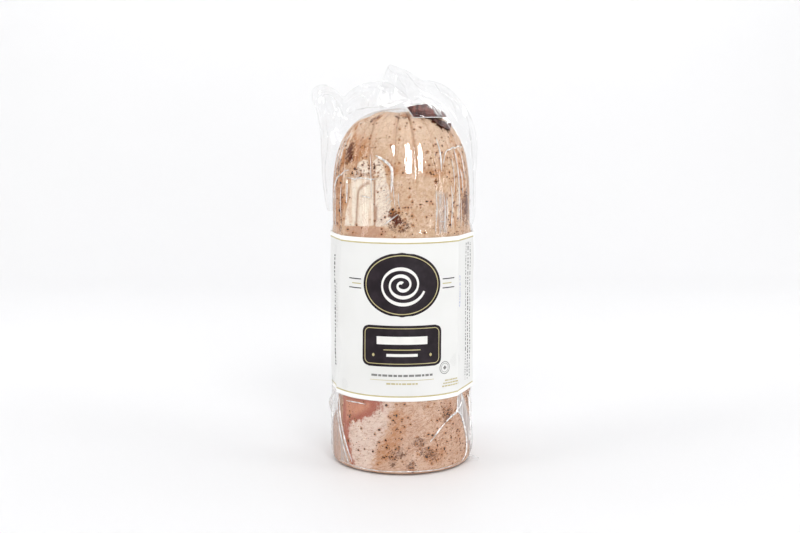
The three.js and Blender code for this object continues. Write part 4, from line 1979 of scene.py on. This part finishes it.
@dataclass
class BandPrint:
    """The band's print, as thin fields of ink in plain shapes that lie on the paper."""

    band: PaperBand
    arc: float = 51.4 * np.pi / 180
    low_lift: float = 0.08
    high_lift: float = 0.14
    step: float = 1.6
    medallion: Pair = (0.2, 136.0)
    plaque: Pair = (0.2, 93.0)
    parts: dict[Ink, MeshParts] = field(default_factory=dict)

    def build(self) -> list[Piece]:
        """Draws the whole print and makes a piece of each ink.

        Returns:
            The pieces.
        """
        self._medallion()
        self._plaque()
        self._lower_lines()
        self._side_columns()
        made = []
        for ink, parts in self.parts.items():
            piece = parts.build(f"print_{ink.name.lower()}", [ink.value.material()])
            made.append(piece)
        return made

    def _lift(self, ink: Ink) -> float:
        """How far an ink stands out from the paper: gold and white lie over the other inks."""
        return self.high_lift if ink in (Ink.GOLD, Ink.WHITE) else self.low_lift

    def _field(self, ink: Ink, x: float, z: float, height: float, half: Callable[[Array], Array]) -> None:
        """A filled shape that is alike to the left and right.

        Args:
            ink: its colour.
            x: its middle.
            z: its middle height.
            height: its height.
            half: gives half its width at a height.
        """
        bottom, top = z - height / 2, z + height / 2
        levels = np.linspace(bottom, top, max(3, int(top - bottom) + 2))
        left, right = x - half(levels), x + half(levels)
        share = np.linspace(0, 1, max(2, int(np.max(right - left) / self.step) + 1))
        across = blend(left[:, None], right[:, None], share)
        points = self.band.surface(across / self.arc, levels[:, None], self._lift(ink))
        self.parts.setdefault(ink, MeshParts()).add_grid(points)

    def _bar(self, ink: Ink, x: float, z: float, width: float, height: float) -> None:
        """A plain bar round a middle point."""
        self._field(ink, x, z, height, lambda at: np.full_like(at, width / 2))

    def _round_box(self, ink: Ink, x: float, z: float, width: float, height: float, corner: float) -> None:
        """A filled rectangle with round corners.

        Args:
            ink: its colour.
            x: its middle.
            z: its middle height.
            width: its width.
            height: its height.
            corner: radius of its corners.
        """

        def half(at: Array) -> Array:
            """Half the rectangle's width at a height."""
            over = np.clip(np.abs(at - z) - (height / 2 - corner), 0, corner)
            return width / 2 - corner + np.sqrt(corner**2 - over**2)

        self._field(ink, x, z, height, half)

    def _stroke(self, ink: Ink, path: Array, width: float | Array) -> None:
        """A line of a given width along a path of [x, z] points.

        Args:
            ink: its colour.
            path: its middle line.
            width: its width.
        """
        run = np.gradient(path, axis=0)
        side = np.stack([-run[:, 1], run[:, 0]], -1)
        side *= (np.broadcast_to(width, len(path)) / 2 / np.linalg.norm(side, axis=-1))[:, None]
        flat = np.stack([path + side, path, path - side])
        points = self.band.surface(flat[..., 0] / self.arc, flat[..., 1], self._lift(ink))
        self.parts.setdefault(ink, MeshParts()).add_grid(points[::-1])

    def _ring(self, ink: Ink, x: float, z: float, width: float, height: float, line: float) -> None:
        """An oval line."""
        turn = np.linspace(0, 2 * np.pi, 97)
        self._stroke(ink, np.stack([x + width / 2 * np.cos(turn), z + height / 2 * np.sin(turn)], -1), line)

    def _medallion(self) -> None:
        """Dark oval with a cream slice spiral in it, between pairs of rules."""
        x, z = self.medallion
        self._field(Ink.PLUM, x, z, 45, lambda at: 28 * np.sqrt(np.clip(1 - ((at - z) / 22.5) ** 2, 0, 1)))
        self._ring(Ink.GOLD, x, z, 52, 41, 0.6)
        turn = np.linspace(0.4 * np.pi, 5.9 * np.pi, 150)
        out = 1.2 + 13.4 * (turn - turn[0]) / (turn[-1] - turn[0])
        spiral = np.stack([x + 1.12 * out * np.cos(turn), z + out * np.sin(turn)], -1)
        self._stroke(Ink.WHITE, spiral, 1.9 - 0.5 * np.cos(turn * 2))
        for side in (-1, 1):
            for level, ink, length in ((3.2, Ink.PLUM, 11), (0, Ink.GOLD, 8), (-3.2, Ink.PLUM, 11)):
                run = np.linspace(x + side * 30.0, x + side * (30.0 + length), 12)
                self._stroke(ink, np.stack([run, np.full(12, z + level)], -1), 0.7)

    def _plaque(self) -> None:
        """Dark plaque with a gold keyline and plain bars, between two lozenges."""
        x, z = self.plaque
        self._round_box(Ink.PLUM, x, z, 58, 29, 5)
        corner = np.linspace(0, np.pi / 2, 9)
        outline = []
        for turn, (sx, sz) in enumerate(((1, 1), (-1, 1), (-1, -1), (1, -1))):
            angle = corner + turn * np.pi / 2
            outline.append(np.stack([sx * 23.5 + 3.5 * np.cos(angle), sz * 9 + 3.5 * np.sin(angle)], -1))
        loop = np.concatenate([*outline, outline[0][:1]])
        self._stroke(Ink.GOLD, even_path(np.array([x, z]) + loop, 180), 0.5)
        self._bar(Ink.WHITE, x, z + 4.0, 36, 5.6)
        self._bar(Ink.GOLD, x, z - 2.6, 26, 0.6)
        self._bar(Ink.WHITE, x, z - 6.4, 22, 2.0)
        for side in (-1, 1):
            self._lozenge(Ink.GOLD, x + side * 20.5, z - 6.4, 2.6)

    def _lozenge(self, ink: Ink, x: float, z: float, size: float) -> None:
        """A small upright square on its corner."""
        self._field(ink, x, z, size, lambda at: size / 2 - np.abs(at - z))

    def _lower_lines(self) -> None:
        """Rules and rows of plain dashes under the plaque, and a small ring seal."""
        self._dashes(Ink.GREY, 0.2, 72.2, 44, 1.5, 17)
        self._bar(Ink.GOLD, 0.2, 68.9, 46, 0.35)
        self._dashes(Ink.GOLD, 0.2, 66.4, 22, 1.1, 23)
        for row, width in enumerate((12, 15, 17)):
            self._dashes(Ink.GOLD, 38.5, 66.8 - 2 * row, width, 0.9, 31 + row)
        self._ring(Ink.GREY, 32.5, 76, 8.6, 8.6, 0.45)
        self._ring(Ink.GREY, 32.5, 76, 6.2, 6.2, 0.3)
        self._lozenge(Ink.GREY, 32.5, 76, 3.2)

    def _dashes(self, ink: Ink, x: float, z: float, width: float, height: float, seed: int) -> None:
        """A row of plain dashes of uneven length, centred on a point.

        Args:
            ink: its colour.
            x: its middle.
            z: its middle height.
            width: its width.
            height: its height.
            seed: for their lengths.
        """
        draw = np.random.default_rng(seed)
        at = x - width / 2
        while at < x + width / 2 - 0.5:
            length = min(draw.uniform(1.6, 4.6) * height / 1.4, x + width / 2 - at)
            self._bar(ink, at + length / 2, z, length, height)
            at += length + 0.5 * height

    def _side_columns(self) -> None:
        """Upright columns of plain marks on the band's two sides, and a column of blue ticks."""
        self._column(Ink.PLUM, -77.5, 152, 72, 1.5, 3.4, 61)
        self._column(Ink.GREY, -70.5, 132, 100, 1.2, 1.4, 62)
        for angle, wide, seed in ((69.5, 1.4, 63), (75.0, 2.0, 64), (80.5, 1.4, 65)):
            self._column(Ink.PLUM, angle, 161, 62, 1.3, wide, seed)
        self._column(Ink.BLUE, 54.6, 139, 118, 1.1, 1.0, 66)
        self._column(Ink.PLUM, -160, 150, 80, 1.4, 5, 67)
        self._column(Ink.GREY, 150, 150, 80, 1.2, 6, 68)

    def _column(
        self, ink: Ink, angle: float, top: float, bottom: float, height: float, width: float, seed: int
    ) -> None:
        """A column of short marks of uneven length down the band.

        Args:
            ink: their colour.
            angle: where on the band they stand.
            top: height of the first mark.
            bottom: height of the last mark.
            height: height of a mark.
            width: longest width of a mark.
            seed: for their lengths.
        """
        draw = np.random.default_rng(seed)
        z = top
        while z > bottom:
            tall = height * draw.uniform(0.5, 1.6)
            wide = width * draw.uniform(0.55, 1.0)
            self._bar(ink, angle * self.arc, z, wide, tall)
            z -= tall + height * draw.uniform(0.35, 0.9)


@dataclass(frozen=True)
class Lamp:
    """A soft rectangular light, with lengths in metres and its power in watts."""

    name: str
    place: Triple
    target: Triple
    size: Pair
    power: float
    mirrored: bool = True
    spreads: bool = True

    def build(self) -> None:
        """Makes the light and puts it in the scene."""
        data = bpy.data.lights.new(self.name, "AREA")
        data.shape = "RECTANGLE"
        data.size, data.size_y = self.size
        data.energy = self.power
        light = bpy.data.objects.new(self.name, data)
        light.location = self.place
        light.rotation_euler = (Vector(self.target) - Vector(self.place)).to_track_quat("-Z", "Y").to_euler()
        light.visible_glossy = self.mirrored
        light.visible_diffuse = self.spreads
        bpy.context.scene.collection.objects.link(light)


LAMPS = (
    Lamp("key", (0.30, -0.86, 0.74), (0.0, 0.0, 0.21), (0.3, 0.5), 2.6, mirrored=False),
    Lamp("key_glint", (0.29, -0.83, 0.70), (0.0, 0.0, 0.21), (0.3, 0.56), 26.0, spreads=False),
    Lamp("front_fill", (0.0, -1.7, 1.3), (0.0, 0.0, 0.1), (1.8, 1.0), 12.0, mirrored=False),
    Lamp("left_fill", (-1.4, -0.5, 0.7), (0.0, 0.0, 0.12), (0.8, 1.0), 7.3, mirrored=False),
    Lamp("right_fill", (1.4, -0.5, 0.7), (0.0, 0.0, 0.12), (0.8, 1.0), 5.4, mirrored=False),
    Lamp("left_strip", (-1.25, -0.6, 0.45), (0.0, 0.0, 0.17), (0.2, 1.1), 1.6),
    Lamp("right_strip", (1.25, -0.55, 0.45), (0.0, 0.0, 0.17), (0.1, 1.1), 1.6),
    Lamp("wall_wash", (0.0, 0.35, 1.25), (0.0, 1.5, 0.6), (3.8, 0.5), 17.0, mirrored=False),
)


@dataclass
class Studio:
    """Pale sweep, soft lights and the camera at the photograph's angle."""

    camera_place: Triple = (-1.2, -873.0, 254.4)
    camera_pitch: float = 7.31
    lens: float = 54.18
    floor_near: float = -2600.0
    wall_start: float = 900.0
    wall_bend: float = 500.0
    wall_top: float = 2600.0
    half_width: float = 3200.0

    def build(self) -> None:
        """Makes the sweep, the lights, the surroundings and the camera."""
        self._sweep()
        self._surroundings()
        self._camera()
        for lamp in LAMPS:
            lamp.build()

    def _sweep(self) -> None:
        """The floor, which curves up into a wall behind, with painted shade on the floor round the roll and
        on the sweep behind it.
        """
        turn = np.linspace(0, np.pi / 2, 25)
        bend_y = self.wall_start + self.wall_bend * np.sin(turn)
        bend_z = self.wall_bend * (1 - np.cos(turn))
        profile = [(self.floor_near, 0), *zip(bend_y, bend_z), (bend_y[-1], self.wall_top)]
        points = [(x * MM, y * MM, z * MM) for y, z in profile for x in (-self.half_width, self.half_width)]
        s = Sketch("pale_sweep_painted_shade")
        cloud = s.noise(0.6, 2)
        colour = s.tint((238, 238, 238), ((236, 236, 237), cloud))
        # Painted shade: the sweep darkens on the floor round the roll and on the sweep behind it
        for place, low, high, most in (((0, 0, 0), 0.5, 0.12, 0.6), ((0.12, -1.05, 0), 0.8, 0.15, 0.7)):
            here = s.node("ShaderNodeTexCoord").outputs["Object"]
            moved = s.node("ShaderNodeMapping", Vector=here, Location=place)
            away = s.node("ShaderNodeVectorMath", {"operation": "LENGTH"})
            s.put(away.inputs[0], moved.outputs[0])
            colour = s.tint(colour, ((231, 231, 232), s.ramp(away.outputs["Value"], low, high, 0, most)))
        shader = s.surface(colour, 0.55)
        mesh = bpy.data.meshes.new("sweep")
        faces = [(2 * i, 2 * i + 1, 2 * i + 3, 2 * i + 2) for i in range(len(profile) - 1)]
        mesh.from_pydata(points, [], faces)
        mesh.polygons.foreach_set("use_smooth", [True] * len(faces))
        mesh.materials.append(s.finish(shader))
        sweep = bpy.data.objects.new("sweep", mesh)
        bpy.context.scene.collection.objects.link(sweep)

    @staticmethod
    def _surroundings() -> None:
        """Soft light from above and behind, dimmer from the sides and the front."""
        world = bpy.data.worlds.new("soft_room")
        world.use_nodes = True
        tree = world.node_tree
        place = tree.nodes.new("ShaderNodeTexCoord")
        split = tree.nodes.new("ShaderNodeSeparateXYZ")
        slope = tree.nodes.new("ShaderNodeMath")
        slope.operation = "MULTIPLY_ADD"
        slope.inputs[1].default_value = 0.9
        level = tree.nodes.new("ShaderNodeMapRange")
        for name, value in (("From Min", 0.0), ("From Max", 0.8), ("To Min", 0.1), ("To Max", 0.95)):
            level.inputs[name].default_value = value
        tree.links.new(place.outputs["Generated"], split.inputs[0])
        tree.links.new(split.outputs["Z"], slope.inputs[0])
        tree.links.new(split.outputs["Y"], slope.inputs[2])
        tree.links.new(slope.outputs[0], level.inputs["Value"])
        light = tree.nodes["Background"]
        tree.links.new(level.outputs[0], light.inputs["Strength"])
        light.inputs["Color"].default_value = (0.985, 0.985, 1.0, 1)
        bpy.context.scene.world = world

    def _camera(self) -> None:
        """The camera, and plain colour output."""
        data = bpy.data.cameras.new("camera")
        data.sensor_width = 36
        data.lens = self.lens
        data.clip_start = 0.01
        camera = bpy.data.objects.new("camera", data)
        camera.location = Vector(self.camera_place) * MM
        camera.rotation_euler = (np.radians(90 - self.camera_pitch), 0, 0)
        scene = bpy.context.scene
        scene.collection.objects.link(camera)
        scene.camera = camera
        scene.view_settings.view_transform = "Standard"
        scene.cycles.transparent_max_bounces = 24


def main() -> None:
    """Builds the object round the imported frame."""
    logging.basicConfig(level=logging.INFO, format="%(name)s: %(message)s")
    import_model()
    form = RollForm()
    band = PaperBand(form.band)
    meat = CuredRoll(form).build()
    for piece in (*meat, VacuumBag(form).build(), band.build(), *BandPrint(band).build()):
        log.info("%s: %d faces", piece.name, len(piece.data.polygons))
    Studio().build()


if __name__ == "__main__":
    main()
